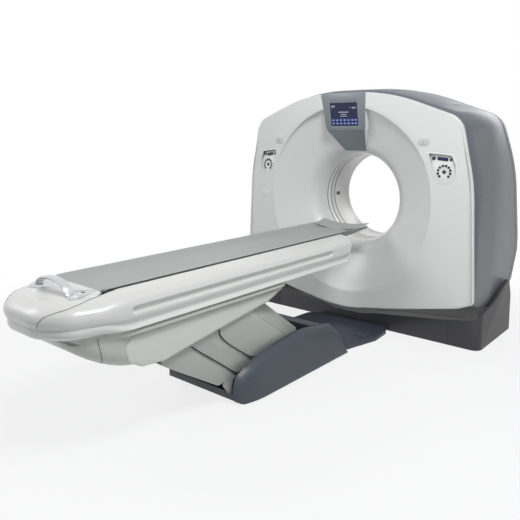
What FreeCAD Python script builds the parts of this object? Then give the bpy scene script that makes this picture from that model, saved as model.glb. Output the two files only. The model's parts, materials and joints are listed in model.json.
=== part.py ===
import FreeCAD, Part
import Sketcher
import math
import os
import re

# CT scanner: a tilting gantry on its floor frame, and a patient table on a parallelogram lift.
# X is across the machine, Y runs along the bore towards the back of the gantry, Z is up.
# The origin is on the floor, under the middle of the bore.

Vector = FreeCAD.Vector
Rotation = FreeCAD.Rotation
doc = FreeCAD.newDocument("ct_scanner")
sheet = doc.addObject("Spreadsheet::Sheet", "Dims")

dims = {
    # bore, tilt axis and running gaps
    "iso_height": 1015,
    "bore_radius": 350,
    "seam_gap": 0.5,
    "running_gap": 0.05,
    "sliding_gap": 0.3,
    # outline of the white front cover, right half
    "crown_x": 340,
    "crown_top": 1843,
    "crown_round": 1400,
    "shoulder_x": 905,
    "shoulder_height": 1637,
    "shoulder_round": 160,
    "waist_x": 1000,
    "waist_height": 1180,
    "waist_round": 1500,
    "hip_x": 1036,
    "hip_height": 342,
    "hip_round": 40,
    "skirt_x": 930,
    "skirt_height": 300,
    "skirt_round": 100,
    "belly_height": 140,
    "belly_round": 1000,
    # front cover depth, its bulge in plan and the dish round the bore
    "cover_front_y": -495,
    "cover_back_y": -400,
    "cover_bulge_radius": 6000,
    "cover_wall": 6,
    "dish_rim_radius": 722,
    "dish_rim_y": -455,
    "dish_lip": 15,
    "dish_throat_radius": 385,
    "dish_throat_y": -303,
    "dish_throat_round": 180,
    "neck_round": 100,
    "neck_y": -184,
    "ring_front_y": -164,
    "window_front_y": -112,
    "window_back_y": -53,
    "liner_back_y": 184,
    "ring_groove": 3.5,
    "liner_flange_radius": 376,
    "flare_radius": 700,
    "shell_back_y": 503,
    # grey covers behind the front cover
    "band_back_y": -365,
    "band_rise": 25,
    "band_widening": 24,
    "flank_y": -60,
    "flank_rise": 47,
    "flank_widening": 60,
    "flank_waist_x": 1048,
    "flank_waist_height": 1275,
    "shell_front_bottom": 335,
    "shell_middle_bottom": 262,
    "shell_rear_y": 392,
    "shell_rear_bottom": 382,
    "tail_height": 600,
    "tail_top_y": 495,
    "tail_top_height": 720,
    "back_slope_y": 215,
    "back_slope_height": 1730,
    "rear_crest_y": 140,
    "shell_sky": 1960,
    "rear_cover_depth": 70,
    "top_cover_half_width": 715,
    "top_cover_bottom": 1400,
    # display panel above the bore
    "panel_top_x": 199,
    "panel_elbow_x": 177,
    "panel_elbow_height": 1573,
    "panel_foot_x": 95,
    "panel_foot_height": 1394,
    "panel_crest_y": -502,
    "panel_crest_height": 1847,
    "panel_brow_y": -512,
    "panel_brow_height": 1792,
    "panel_fold_y": -470,
    "panel_fold_height": 1572,
    "panel_foot_y": -294,
    "panel_barrel_radius": 1400,
    "panel_depth": 60,
    "panel_wall": 16,
    "screen_width": 243,
    "screen_height": 180,
    "screen_pocket": 9,
    "screen_thickness": 4,
    "screen_centre_height": 1677,
    # control pads, their keys and the small parts of the front cover
    "pad_x": 796,
    "pad_height": 1258,
    "pad_tilt": 6.6,
    "pad_thickness": 14,
    "pad_sink": 9,
    "pad_collar": 6,
    "key_radius": 12,
    "small_key_radius": 9,
    "key_gap": 0.5,
    "key_travel": 2,
    "key_proud": 4,
    "key_length": 9,
    "fixed_key_ring": 44,
    "fixed_key_radius": 9,
    "fixed_key_proud": 2,
    "light_x": 650,
    "light_height": 1470,
    "light_width": 86,
    "light_tall": 50,
    "light_depth": 12,
    "light_proud": 1.5,
    "cap_x": 824,
    "cap_height": 1011,
    "cap_width": 97,
    "cap_tall": 55,
    "laser_y": 5,
    "laser_height": 1006,
    "laser_length": 56,
    "laser_tall": 30,
    # tilting steel frame and its pivots
    "plate_front_y": 150,
    "plate_back_y": 200,
    "plate_half_width": 920,
    "plate_half_height": 520,
    "plate_chamfer": 50,
    "plate_bore": 430,
    "post_x": 880,
    "post_rise": 480,
    "post_radius": 20,
    "post_front_y": -395,
    "boss_radius": 30,
    "bracket_inner_x": 800,
    "bracket_outer_x": 965,
    "bracket_front_y": -70,
    "bracket_half_height": 110,
    "pin_radius": 60,
    "pin_end_x": 1022,
    "bearing_radius": 95,
    # floor frame of the gantry
    "upright_inner_x": 985,
    "upright_outer_x": 1020,
    "upright_top": 90,
    "upright_back_y": 150,
    "upright_foot_y": 10,
    "upright_knee_height": 285,
    "upright_shoulder_y": -110,
    "upright_shoulder_height": 515,
    "beam_half_length": 1000,
    "beam_inner_y": 252,
    "beam_outer_y": 322,
    "beam_height": 45,
    "foot_inner_x": 900,
    "foot_outer_x": 1030,
    "anchor_x": 920,
    "anchor_y": 290,
    "anchor_radius": 9,
    # dark covers round the floor frame
    "base_half_width": 1072,
    "base_front_y": -371,
    "base_back_y": 340,
    "base_round": 60,
    "base_floor_gap": 3,
    "base_wall": 8,
    "base_front_top": 256,
    "base_crest_height": 288,
    "base_rear_top_y": 232,
    "base_rear_top": 420,
    "swing_room_middle": 994,
    "swing_room_inner": 964,
    "swing_room_outer": 908,
    "swing_room_side": 880,
    "swing_room_edge": 860,
    "room_middle_x": 110,
    "room_inner_x": 300,
    "room_outer_x": 830,
    "room_side_x": 1000,
    "room_edge_x": 1046,
    "base_left_seam_x": -696,
    "base_right_seam_x": 831,
    "upright_slot_gap": 3,
    # rotor
    "drum_radius": 780,
    "drum_bore": 385,
    "drum_front_y": 70,
    "drum_back_y": 100,
    "drum_window_radius": 62,
    "drum_window_circle": 585,
    "bearing_ring_radius": 425,
    "bearing_ring_bore": 388,
    "bearing_ring_gap": 0.4,
    "bearing_ring_back_y": 145,
    "outer_ring_radius": 470,
    "outer_ring_front_y": 105,
    "slip_ring_bore": 388,
    "slip_ring_radius": 404,
    "slip_ring_front_y": 20,
    "tube_rise": 620,
    "tube_radius": 110,
    "tube_front_y": -150,
    "tube_cap_radius": 72,
    "tube_cap_length": 40,
    "focus_rise": 541,
    "collimator_half_width": 140,
    "collimator_bottom": 430,
    "collimator_top": 505,
    "collimator_front_y": -80,
    "detector_inner": 949,
    "detector_outer": 1049,
    "detector_half_angle": 28,
    "detector_front_y": -50,
    "generator_inner_x": 480,
    "generator_outer_x": 740,
    "generator_half_height": 150,
    "generator_front_y": -150,
    # table lift: four bar linkage, arms parallel at all heights
    "arm_length": 1100,
    "arm_angle": 31,
    "pivot_height": 90,
    "upper_pivot_y": -1333,
    "middle_pivot_y": -1650,
    "lower_pivot_y": -1890,
    "upper_bar_inner_x": 170,
    "upper_bar_outer_x": 230,
    "upper_bar_half_depth": 40,
    "lower_bar_half_width": 110,
    "lower_bar_half_depth": 32,
    "pivot_radius": 30,
    "small_pivot_radius": 15,
    "open_pivot_gap": 1,
    "leg_wall": 3,
    "upper_leg_x": 262,
    "middle_leg_x": 256,
    "lower_leg_x": 250,
    "leg_taper": 5.5,
    "leg_fold": 5,
    "leg_web": 115,
    "leg_web_half_width": 200,
    "lower_web_depth": 99,
    # table base
    "hinge_plate_inner_x": 233,
    "hinge_plate_outer_x": 243,
    "hinge_plate_top": 118,
    "hinge_plate_half": 38,
    "base_plate_half_width": 244,
    "base_plate_thickness": 10,
    "base_plate_foot_y": -1985,
    "base_plate_head_y": -1000,
    "base_cover_wall": 6,
    "base_cover_floor_x": 377,
    "base_cover_top_x": 330,
    "base_cover_top": 288,
    "base_cover_round": 52,
    "leg_opening_x": 293,
    "leg_opening_head_y": -1290,
    "base_cover_end_y": -968,
    "foot_wall_y": -2036,
    "foot_wall_height": 47,
    "foot_wall_left_x": -196,
    "footplate_height": 35,
    "hatch_thickness": 4,
    # table top
    "shell_half_width": 325,
    "shell_wall": 5,
    "shell_bottom": 634,
    "shell_top": 816,
    "shell_foot_y": -3176,
    "shell_head_y": -870,
    "trough_half_width": 221,
    "trough_foot_y": -2862,
    "deck_top": 752,
    "deck_thickness": 10,
    "deck_half_width": 304.5,
    "deck_foot_y": -2900,
    "deck_head_y": -905,
    "rail_inner_x": 266,
    "rail_outer_x": 282,
    "rail_bottom": 636,
    "hanger_half": 60,
    "rail_head_y": -1125,
    "side_groove_top": 763,
    "side_groove_bottom": 726,
    "side_groove_foot_y": -2779,
    "side_groove_head_y": -1105,
    "side_groove_depth": 10,
    "side_rib_depth": 20,
    "nose_round": 240,
    "lid_wall": 5,
    "lid_bottom": 770,
    "lower_cover_half_width": 283,
    "lower_cover_wall": 6,
    "lower_cover_round": 80,
    "lower_cover_keel": 400,
    "lower_pad_rise": 6,
    "lower_pad_root": 14,
    "belly_opening_x": 271,
    "belly_opening_foot_y": -2680,
    "handle_half_width": 112,
    "handle_rise": 46,
    "handle_thickness": 13,
    "handle_depth": 40,
    "handle_y": -2925,
    "button_radius": 10,
    "button_x": 160,
    "button_y": -2925,
    "button_travel": 2,
    # cradle
    "cradle_half_width": 216,
    "cradle_edge_height": 825,
    "cradle_edge_width": 9,
    "cradle_floor_height": 799,
    "cradle_bottom": 787,
    "cradle_foot_y": -2849,
    "cradle_tip_y": -417,
    "carriage_half_width": 150,
    "carriage_rail_width": 45,
    "carriage_foot_y": -2800,
    "carriage_tip_y": -405,
    "carriage_taper_y": -900,
}

for row, (alias, value) in enumerate(dims.items(), start=1):
    sheet.set("A%d" % row, alias)
    sheet.set("B%d" % row, str(value))
    sheet.setAlias("B%d" % row, alias)
doc.recompute()

pieces = []


def bound(text):
    """Write each alias of an expression as a cell of the sheet."""
    def cell(word):
        return "Dims." + word.group() if word.group() in dims else word.group()
    return re.sub(r"[a-z_]+", cell, str(text))


def number(text):
    """Value of an expression in the sheet's own sizes."""
    value = sheet.evalExpression(str(text))
    return float(getattr(value, "Value", value))


def piece(shape):
    """Hand in this object as a sub-part of its own."""
    pieces.append(shape)
    return shape


def place(shape, x="0", y="0", z="0"):
    for axis, text in (("x", x), ("y", y), ("z", z)):
        if text != "0":
            shape.setExpression("Placement.Base." + axis, bound(text))
    return shape


def draw_polygon(sketch, corners):
    """Closed polygon whose corners are held by expressions."""
    points = [Vector(number(corner[0]), number(corner[1]), 0) for corner in corners]
    count = len(points)
    for k in range(count):
        sketch.addGeometry(Part.LineSegment(points[k], points[(k + 1) % count]), False)
    for k in range(count):
        sketch.addConstraint(Sketcher.Constraint("Coincident", k, 2, (k + 1) % count, 1))
    for k in range(count):
        for kind, value, text in (
            ("DistanceX", points[k].x, corners[k][0]),
            ("DistanceY", points[k].y, corners[k][1]),
        ):
            index = sketch.addConstraint(Sketcher.Constraint(kind, -1, 1, k, 1, value))
            sketch.setExpression("Constraints[%d]" % index, bound(text))


def new_sketch(name, role, offset):
    """Body with an empty sketch on one of its origin planes."""
    body = doc.addObject("PartDesign::Body", name)
    plane = [item for item in body.Origin.OriginFeatures if item.Role == role][0]
    sketch = body.newObject("Sketcher::SketchObject", name + "_sketch")
    sketch.AttachmentSupport = [(plane, "")]
    sketch.MapMode = "FlatFace"
    sketch.setExpression("AttachmentOffset.Base.z", bound(offset))
    return body, sketch


def round_corners(body, feature, corners, flat):
    """Fillet the edges of a pad that stand on corners with a radius."""
    radii = []
    for corner in corners:
        if len(corner) > 2 and corner[2] not in radii:
            radii.append(corner[2])
    for radius in radii:
        doc.recompute()
        names = []
        wanted = [corner for corner in corners if len(corner) > 2 and corner[2] == radius]
        for index, edge in enumerate(feature.Shape.Edges, start=1):
            if len(edge.Vertexes) != 2:
                continue
            first, last = [flat(vertex.Point) for vertex in edge.Vertexes]
            if (first - last).Length > 0.0001:
                continue
            for corner in wanted:
                spot = Vector(number(corner[0]), number(corner[1]), 0)
                if (first - spot).Length < 0.01:
                    names.append("Edge%d" % index)
        fillet = body.newObject("PartDesign::Fillet", body.Name + "_round")
        fillet.Base = (feature, names)
        fillet.setExpression("Radius", bound(radius))
        feature = fillet
    doc.recompute()


def round_rings(body, turn, corners):
    """Fillet the rings that the corners with a radius sweep round the bore axis."""
    feature = turn
    for corner in corners:
        if len(corner) < 3:
            continue
        doc.recompute()
        reach = number(corner[0])
        level = number(corner[1])
        names = []
        for index, edge in enumerate(feature.Shape.Edges, start=1):
            curve = edge.Curve
            if not isinstance(curve, Part.Circle):
                continue
            if abs(curve.Radius - reach) < 0.01 and abs(curve.Center.y - level) < 0.01:
                names.append("Edge%d" % index)
        fillet = body.newObject("PartDesign::Fillet", body.Name + "_round")
        fillet.Base = (feature, names)
        fillet.setExpression("Radius", bound(corner[2]))
        feature = fillet
    doc.recompute()


def prism(name, role, corners, low, high):
    """Outline on an origin plane, padded from low to high across that plane."""
    offset = "-(%s)" % high if role == "XZ_Plane" else low
    body, sketch = new_sketch(name, role, offset)
    draw_polygon(sketch, corners)
    pad = body.newObject("PartDesign::Pad", name + "_pad")
    pad.Profile = sketch
    pad.setExpression("Length", bound("(%s)-(%s)" % (high, low)))
    flats = {
        "XZ_Plane": lambda point: Vector(point.x, point.z, 0),
        "YZ_Plane": lambda point: Vector(point.y, point.z, 0),
        "XY_Plane": lambda point: Vector(point.x, point.y, 0),
    }
    round_corners(body, pad, corners, flats[role])
    return body


def turned(name, corners, about="V_Axis"):
    """Profile turned about the bore axis (V_Axis) or the tilt axis (H_Axis), then lifted to it."""
    body, sketch = new_sketch(name, "XY_Plane", "0")
    draw_polygon(sketch, corners)
    turn = body.newObject("PartDesign::Revolution", name + "_turn")
    turn.Profile = sketch
    turn.ReferenceAxis = (sketch, [about])
    turn.Angle = 360
    round_rings(body, turn, corners)
    return place(body, z="iso_height")


def block(name, x, y, z):
    """Box from the low and high expression of each axis."""
    box = doc.addObject("Part::Box", name)
    for size, axis, (low, high) in zip(("Length", "Width", "Height"), "xyz", (x, y, z)):
        box.setExpression(size, bound("(%s)-(%s)" % (high, low)))
        box.setExpression("Placement.Base." + axis, bound(low))
    return box


def rod(name, axis, radius, low, high, centre):
    """Cylinder along an axis, with the two other coordinates of its centre."""
    cylinder = doc.addObject("Part::Cylinder", name)
    cylinder.setExpression("Radius", bound(radius))
    cylinder.setExpression("Height", bound("(%s)-(%s)" % (high, low)))
    turns = {
        "x": Rotation(Vector(0, 1, 0), 90),
        "y": Rotation(Vector(1, 0, 0), -90),
        "z": Rotation(),
    }
    cylinder.Placement = FreeCAD.Placement(Vector(), turns[axis])
    others = [letter for letter in "xyz" if letter != axis]
    cylinder.setExpression("Placement.Base." + axis, bound(low))
    cylinder.setExpression("Placement.Base." + others[0], bound(centre[0]))
    cylinder.setExpression("Placement.Base." + others[1], bound(centre[1]))
    return cylinder


def fuse(name, *shapes):
    result = doc.addObject("Part::MultiFuse", name)
    result.Shapes = list(shapes)
    return result


def common(name, *shapes):
    result = shapes[0]
    for index, shape in enumerate(shapes[1:], start=1):
        last = index == len(shapes) - 1
        step = doc.addObject("Part::Common", name if last else "%s_step_%d" % (name, index))
        step.Base = result
        step.Tool = shape
        result = step
    return result


def cut(name, base, *tools):
    result = base
    for index, tool in enumerate(tools, start=1):
        last = index == len(tools)
        step = doc.addObject("Part::Cut", name if last else "%s_step_%d" % (name, index))
        step.Base = result
        step.Tool = tool
        result = step
    return result


def mirrored(name, source):
    """The same piece on the other side of the machine."""
    mirror = doc.addObject("Part::Mirroring", name)
    mirror.Source = source
    mirror.Base = Vector(0, 0, 0)
    mirror.Normal = Vector(1, 0, 0)
    return mirror


def feature(name, shape):
    """Shape made by code, from the sheet's sizes."""
    result = doc.addObject("Part::Feature", name)
    result.Shape = shape
    result.Placement = FreeCAD.Placement()
    return result


def both_sides(half):
    """Close an outline drawn for the right half."""
    left = []
    for corner in reversed(half):
        if corner[0] != "0":
            left.append(("-(%s)" % corner[0],) + tuple(corner[1:]))
    return list(half) + left


# ---------------------------------------------------------------- gantry outline


def gantry_outline(
    inset="0", rise="0", widening="0", waist_x="waist_x", waist_height="waist_height", drop="0"
):
    """Face outline of the gantry, grown for the covers behind it and inset for their walls.

    The covers behind have straight sides down to their open bottom, so their belly is dropped.
    """
    half = [
        ("crown_x", "crown_top+%s-%s" % (rise, inset), "crown_round"),
        ("shoulder_x+%s-%s" % (widening, inset), "shoulder_height+%s/2-%s*0.6" % (rise, inset), "shoulder_round"),
        ("%s-%s" % (waist_x, inset), waist_height, "waist_round"),
        ("hip_x-%s" % inset, "hip_height+%s*0.7-%s" % (inset, drop), "hip_round"),
        ("skirt_x-%s*0.6" % inset, "skirt_height+%s-%s" % (inset, drop), "skirt_round"),
        ("0", "belly_height+%s-%s" % (inset, drop), "belly_round"),
    ]
    return both_sides(half)


def rounded_wire(corners, y):
    """Wire in the plane at y, with an arc at every corner."""
    points = [Vector(number(x), y, number(z)) for x, z, radius in corners]
    radii = [number(radius) for x, z, radius in corners]
    count = len(points)
    arcs = []
    for k in range(count):
        corner = points[k]
        back = (points[k - 1] - corner).normalize()
        ahead = (points[(k + 1) % count] - corner).normalize()
        half_angle = back.getAngle(ahead) / 2
        reach = radii[k] / math.tan(half_angle)
        middle = (back + ahead).normalize()
        depth = radii[k] / math.sin(half_angle) - radii[k]
        arcs.append((corner + back * reach, corner + middle * depth, corner + ahead * reach))
    edges = []
    for k in range(count):
        edges.append(Part.Arc(*arcs[k]).toShape())
        edges.append(Part.LineSegment(arcs[k][2], arcs[(k + 1) % count][0]).toShape())
    return Part.Wire(edges)


# ---------------------------------------------------------------- white front cover

bulge_centre_y = "cover_front_y+cover_bulge_radius"


def bulge_y(x):
    """Y of the bulged front face at this x."""
    return "(%s-sqrt(cover_bulge_radius^2-(%s)^2))" % (bulge_centre_y, x)


bulge = rod("cover_bulge", "z", "cover_bulge_radius", "0", "crown_top+200", ("0", bulge_centre_y))
bulge_inside = rod(
    "cover_bulge_inside", "z", "cover_bulge_radius-cover_wall", "0", "crown_top+200", ("0", bulge_centre_y)
)
face_blank = prism("face_blank", "XZ_Plane", gantry_outline(), "cover_front_y-20", "cover_back_y")
face_room = prism(
    "face_room", "XZ_Plane", gantry_outline("cover_wall"), "cover_front_y-20", "cover_back_y+1"
)
face_solid = common("face_solid", face_blank, bulge)
face_inside = common("face_inside", face_room, bulge_inside)

dish_profile = [
    ("dish_rim_radius+dish_lip", "dish_rim_y-98"),
    ("dish_rim_radius", "dish_rim_y"),
    ("dish_throat_radius", "dish_throat_y", "dish_throat_round"),
    ("bore_radius", "neck_y", "neck_round"),
    ("bore_radius", "ring_front_y"),
]
dish_room = turned(
    "dish_room",
    [("0", "dish_rim_y-98")] + dish_profile[:-1] + [("bore_radius", "ring_front_y+10"), ("0", "ring_front_y+10")],
)
dish_wall_back = [
    ("bore_radius+cover_wall", "ring_front_y"),
    ("bore_radius+cover_wall", "neck_y+1", "neck_round-cover_wall"),
    ("dish_throat_radius+cover_wall*0.83", "dish_throat_y+cover_wall*0.72", "dish_throat_round-cover_wall"),
    ("dish_rim_radius+cover_wall", "dish_rim_y+cover_wall"),
    ("dish_rim_radius+dish_lip+cover_wall", "dish_rim_y-98"),
]
dish_blank = turned("dish_blank", dish_profile + dish_wall_back)

dish_wall = common("dish_wall", dish_blank, bulge)

# display panel: a hood that leans back below its brow, rounds off sideways and folds into the dish
BARREL_REACH = 500
panel_outline = both_sides([
    ("panel_top_x", "panel_crest_height", "12"),
    ("panel_elbow_x", "panel_elbow_height", "60"),
    ("panel_foot_x", "panel_foot_height", "14"),
])
panel_room_outline = both_sides([
    ("panel_top_x+seam_gap", "panel_crest_height+seam_gap", "12"),
    ("panel_elbow_x+seam_gap", "panel_elbow_height-seam_gap", "60"),
    ("panel_foot_x+seam_gap", "panel_foot_height-seam_gap", "14"),
])


def panel_side(step):
    """Side view of the panel: its front line moved back by step, and its back line."""
    return [
        ("panel_crest_y+%s" % step, "panel_crest_height+2"),
        ("panel_brow_y+%s" % step, "panel_brow_height", "60"),
        ("panel_fold_y+%s" % step, "panel_fold_height", "70"),
        ("panel_foot_y+%s" % step, "panel_foot_height-2"),
        ("panel_foot_y+panel_depth", "panel_foot_height-2"),
        ("panel_fold_y+panel_depth", "panel_fold_height"),
        ("panel_crest_y+panel_depth", "panel_crest_height+2"),
    ]


panel_blank = prism("panel_blank", "XZ_Plane", panel_outline, "panel_crest_y-40", "panel_foot_y+100")
panel_slab = prism("panel_slab", "YZ_Plane", panel_side("0"), "-300", "300")
outline_deep = prism(
    "outline_deep", "XZ_Plane", gantry_outline(), "panel_crest_y-40", "ring_front_y"
)
screen_lean = "atan((panel_fold_y-panel_brow_y)/(panel_brow_height-panel_fold_height))"
screen_y = (
    "(panel_brow_y+(panel_brow_height-screen_centre_height)"
    "*(panel_fold_y-panel_brow_y)/(panel_brow_height-panel_fold_height))"
)


def leaning(shape, lean, y, z, x="0"):
    """Tip a piece's top forward about the X direction by lean degrees, at its own place."""
    shape.Placement = FreeCAD.Placement(Vector(), Rotation(Vector(1, 0, 0), number(lean)))
    shape.setExpression("Placement.Rotation.Angle", bound(lean))
    return place(shape, x=x, y=y, z=z)


barrel_blank = doc.addObject("Part::Cylinder", "panel_barrel")
barrel_blank.setExpression("Radius", bound("panel_barrel_radius"))
barrel_blank.Height = 2 * BARREL_REACH
panel_barrel = leaning(
    barrel_blank, screen_lean,
    "%s+panel_barrel_radius*cos(%s)+%d*sin(%s)" % (screen_y, screen_lean, BARREL_REACH, screen_lean),
    "screen_centre_height+panel_barrel_radius*sin(%s)-%d*cos(%s)" % (screen_lean, BARREL_REACH, screen_lean),
)
panel_solid = common("panel_solid", panel_blank, panel_slab, outline_deep, panel_barrel)
panel_hollow_outline = both_sides([
    ("panel_top_x-panel_wall", "panel_crest_height-panel_wall*2", "8"),
    ("panel_elbow_x-panel_wall", "panel_elbow_height+2", "40"),
    ("panel_foot_x-panel_wall", "panel_foot_height+panel_wall", "8"),
])
panel_hollow_blank = prism(
    "panel_hollow_blank", "XZ_Plane", panel_hollow_outline, "panel_crest_y-40", "panel_foot_y+100"
)
panel_hollow_slab = prism("panel_hollow_slab", "YZ_Plane", [
    ("panel_crest_y+panel_wall", "panel_crest_height+2"),
    ("panel_brow_y+panel_wall", "panel_brow_height"),
    ("panel_fold_y+panel_wall", "panel_fold_height"),
    ("panel_foot_y+panel_wall", "panel_foot_height-2"),
    ("panel_foot_y+panel_depth+60", "panel_foot_height-2"),
    ("panel_crest_y+panel_depth+60", "panel_crest_height+2"),
], "-300", "300")
panel_hollow = common("panel_hollow", panel_hollow_blank, panel_hollow_slab)

def screen_outline(grow):
    return both_sides([
        ("screen_width/2+%s" % grow, "screen_height/2+%s" % grow, "6"),
        ("screen_width/2+%s" % grow, "-screen_height/2-%s" % grow, "6"),
    ])


screen_room = leaning(
    prism("screen_room", "XZ_Plane", screen_outline("seam_gap"), "-60", "screen_pocket"),
    screen_lean, screen_y, "screen_centre_height",
)
piece(cut("display_panel", panel_solid, panel_hollow, screen_room))
piece(leaning(
    prism(
        "display_screen", "XZ_Plane", screen_outline("0"), "screen_pocket-screen_thickness", "screen_pocket"
    ),
    screen_lean, screen_y, "screen_centre_height",
))
panel_room = common(
    "panel_room",
    prism(
        "panel_room_blank", "XZ_Plane", panel_room_outline, "panel_crest_y-60", "panel_foot_y+100"
    ),
    prism("panel_room_slab", "YZ_Plane", [
        ("panel_crest_y-60", "panel_crest_height+20"),
        ("panel_crest_y-60", "panel_foot_height-2"),
        ("panel_foot_y+panel_depth+seam_gap", "panel_foot_height-2"),
        ("panel_fold_y+panel_depth+seam_gap", "panel_fold_height"),
        ("panel_crest_y+panel_depth+seam_gap", "panel_crest_height+20"),
    ], "-300", "300"),
)

# control pads: drawn flat about their own centre, then turned to lie on the bulged cover
pad_turn = "asin(pad_x/cover_bulge_radius)"
pad_y = "(%s+pad_sink)" % bulge_y("pad_x")
pad_corners = [
    ("-113", "137", "10"),
    ("55", "120", "22"),
    ("79", "52", "30"),
    ("82", "-17", "30"),
    ("41", "-61", "28"),
    ("-24", "-72", "30"),
    ("-66", "-31", "60"),
    ("-96", "88", "60"),
]


def grown(corners, amount):
    """Outline pushed out from its middle by about this much on every side."""
    result = []
    for u, v, radius in corners:
        length = math.hypot(float(u), float(v))
        grow_u = "%s+(%s)*%.4f" % (u, amount, float(u) / length)
        grow_v = "%s+(%s)*%.4f" % (v, amount, float(v) / length)
        result.append((grow_u, grow_v, radius))
    return result


def on_pad(shape, side=1):
    """Lay a shape drawn in the pad's own frame on the cover."""
    turn = Rotation(Vector(0, 0, 1), number(pad_turn))
    tip = Rotation(Vector(1, 0, 0), -number("pad_tilt"))
    local = shape.Placement
    spot = Vector(number("pad_x"), number(pad_y), number("pad_height"))
    shape.Placement = FreeCAD.Placement(spot, turn * tip) * local
    return shape


def pad_rod(name, radius, low, high, u, v):
    cylinder = doc.addObject("Part::Cylinder", name)
    cylinder.setExpression("Radius", bound(radius))
    cylinder.setExpression("Height", bound("(%s)-(%s)" % (high, low)))
    doc.recompute()
    start = Vector(number(u), number(low), number(v))
    cylinder.Placement = FreeCAD.Placement(start, Rotation(Vector(1, 0, 0), -90))
    return on_pad(cylinder)


pad_blank = on_pad(prism("pad_blank", "XZ_Plane", pad_corners, "0", "pad_thickness"))
pad_room = on_pad(prism(
    "pad_room", "XZ_Plane", grown(pad_corners, "seam_gap*1.5"), "-80", "pad_thickness"
))
pad_collar = on_pad(prism(
    "pad_collar_blank", "XZ_Plane", grown(pad_corners, "pad_collar*1.6"),
    "-50", "pad_thickness+pad_collar",
))
key_places = {
    "start_key": ("-78", "100", "key_radius"),
    "stop_key": ("42", "92", "small_key_radius"),
    "centre_key": ("0", "6", "key_radius"),
}
key_rooms = []
right_keys = []
for key_name, (u, v, radius) in key_places.items():
    key_rooms.append(pad_rod(
        key_name + "_room", radius + "+key_gap", "-10", "key_length+key_travel", u, v
    ))
    right_keys.append(pad_rod(
        "right_" + key_name, radius, "-key_proud", "key_length-key_proud", u, v
    ))
fixed_keys = []
for k in range(10):
    angle = -60 + k * 30
    u = "(fixed_key_ring*%.5f)" % math.sin(math.radians(angle - 75))
    v = "(6+fixed_key_ring*%.5f)" % math.cos(math.radians(angle - 75))
    fixed_keys.append(pad_rod(
        "fixed_key_%d" % (k + 1), "fixed_key_radius", "-fixed_key_proud", "2", u, v
    ))


def display_outline(grow):
    return [
        ("-52-%s" % grow, "112+%s" % grow, "4"),
        ("22+%s" % grow, "104+%s" % grow, "4"),
        ("22+%s" % grow, "80-%s" % grow, "4"),
        ("-52-%s" % grow, "88-%s" % grow, "4"),
    ]


display_room = on_pad(prism("display_room", "XZ_Plane", display_outline("0.3"), "-20", "3"))
right_display = on_pad(prism("right_display", "XZ_Plane", display_outline("0"), "-0.5", "3"))
right_keypad = cut(
    "right_keypad", fuse("right_keypad_blank", pad_blank, *fixed_keys), display_room, *key_rooms
)
piece(right_keypad)
piece(mirrored("left_keypad", right_keypad))
piece(fuse("key_displays", right_display, mirrored("left_display", right_display)))
for key in right_keys:
    piece(key)
    piece(mirrored(key.Name.replace("right_", "left_"), key))

# oval status lights, the small service cap and the laser windows
light_turn = "asin(light_x/cover_bulge_radius)"


def oval(name, width, tall, grow, low, high, x, z):
    """Long round plate on the bulged cover, facing the way the cover faces there."""
    corners = both_sides([
        ("%s/2+%s" % (width, grow), "%s/2+%s" % (tall, grow), "%s*0.49+%s" % (tall, grow)),
        ("%s/2+%s" % (width, grow), "-%s/2-%s" % (tall, grow), "%s*0.49+%s" % (tall, grow)),
    ])
    plate = prism(name, "XZ_Plane", corners, low, high)
    turn = "asin((%s)/cover_bulge_radius)" % x
    plate.Placement = FreeCAD.Placement(Vector(), Rotation(Vector(0, 0, 1), number(turn)))
    plate.setExpression("Placement.Rotation.Angle", bound(turn))
    return place(plate, x=x, y=bulge_y(x), z=z)


light_back = "light_depth-light_proud"
right_light = oval(
    "right_light", "light_width", "light_tall", "0", "-light_proud", light_back, "light_x", "light_height"
)
light_room = oval(
    "light_room", "light_width", "light_tall", "seam_gap", "-30", "light_depth+10", "light_x", "light_height"
)
left_light_room = mirrored("left_light_room", light_room)
piece(fuse("status_lights", right_light, mirrored("left_light", right_light)))
cap_mould = oval(
    "cap_mould", "cap_width", "cap_tall", "0", "-1", "cover_wall+4", "cap_x", "cap_height"
)
cap_room = oval(
    "cap_room", "cap_width", "cap_tall", "seam_gap", "-30", "cover_wall+20", "cap_x", "cap_height"
)
piece(mirrored("service_cap", cap_mould))
left_cap_room = mirrored("left_cap_room", cap_room)

# bosses that take the front posts of the tilting frame
bosses = []
for side, x in (("left", "-post_x"), ("right", "post_x")):
    for level, z in (("lower", "iso_height-post_rise"), ("upper", "iso_height+post_rise")):
        bosses.append(rod(
            "%s_%s_boss" % (level, side), "y", "boss_radius", "cover_front_y-10", "post_front_y", (x, z)
        ))
boss_blanks = fuse("boss_blanks", *bosses)
boss_solids = common("boss_solids", boss_blanks, face_inside)
boss_tails = []
pad_collar_pair = fuse("pad_collar_pair", pad_collar, mirrored("left_pad_collar", pad_collar))
collars = common("collars", pad_collar_pair, bulge)
boss_ends = common("boss_ends", boss_blanks, block(
    "boss_end_zone", ("-1100", "1100"), ("cover_back_y-60", "post_front_y"), ("0", "2000")
))
boss_ends_inside = common("boss_ends_inside", boss_ends, bulge_inside)
cover_shell = cut("cover_shell", face_solid, face_inside, dish_room)
cover_blank = fuse("cover_blank", cover_shell, dish_wall, collars, boss_ends_inside)
piece(cut(
    "front_cover", cover_blank, panel_room, pad_room, mirrored("left_pad_room", pad_room),
    light_room, left_light_room, left_cap_room,
))

# ---------------------------------------------------------------- rings lining the bore


def bore_ring(front, back):
    """Ring of the bore lining, bevelled where the joint with the next ring shows as a groove."""
    return [
        ("bore_radius", front + "+ring_groove"),
        ("bore_radius+ring_groove", front),
        ("bore_radius+cover_wall", front),
        ("bore_radius+cover_wall", back),
        ("bore_radius+ring_groove", back),
        ("bore_radius", back + "-ring_groove"),
    ]


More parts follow.
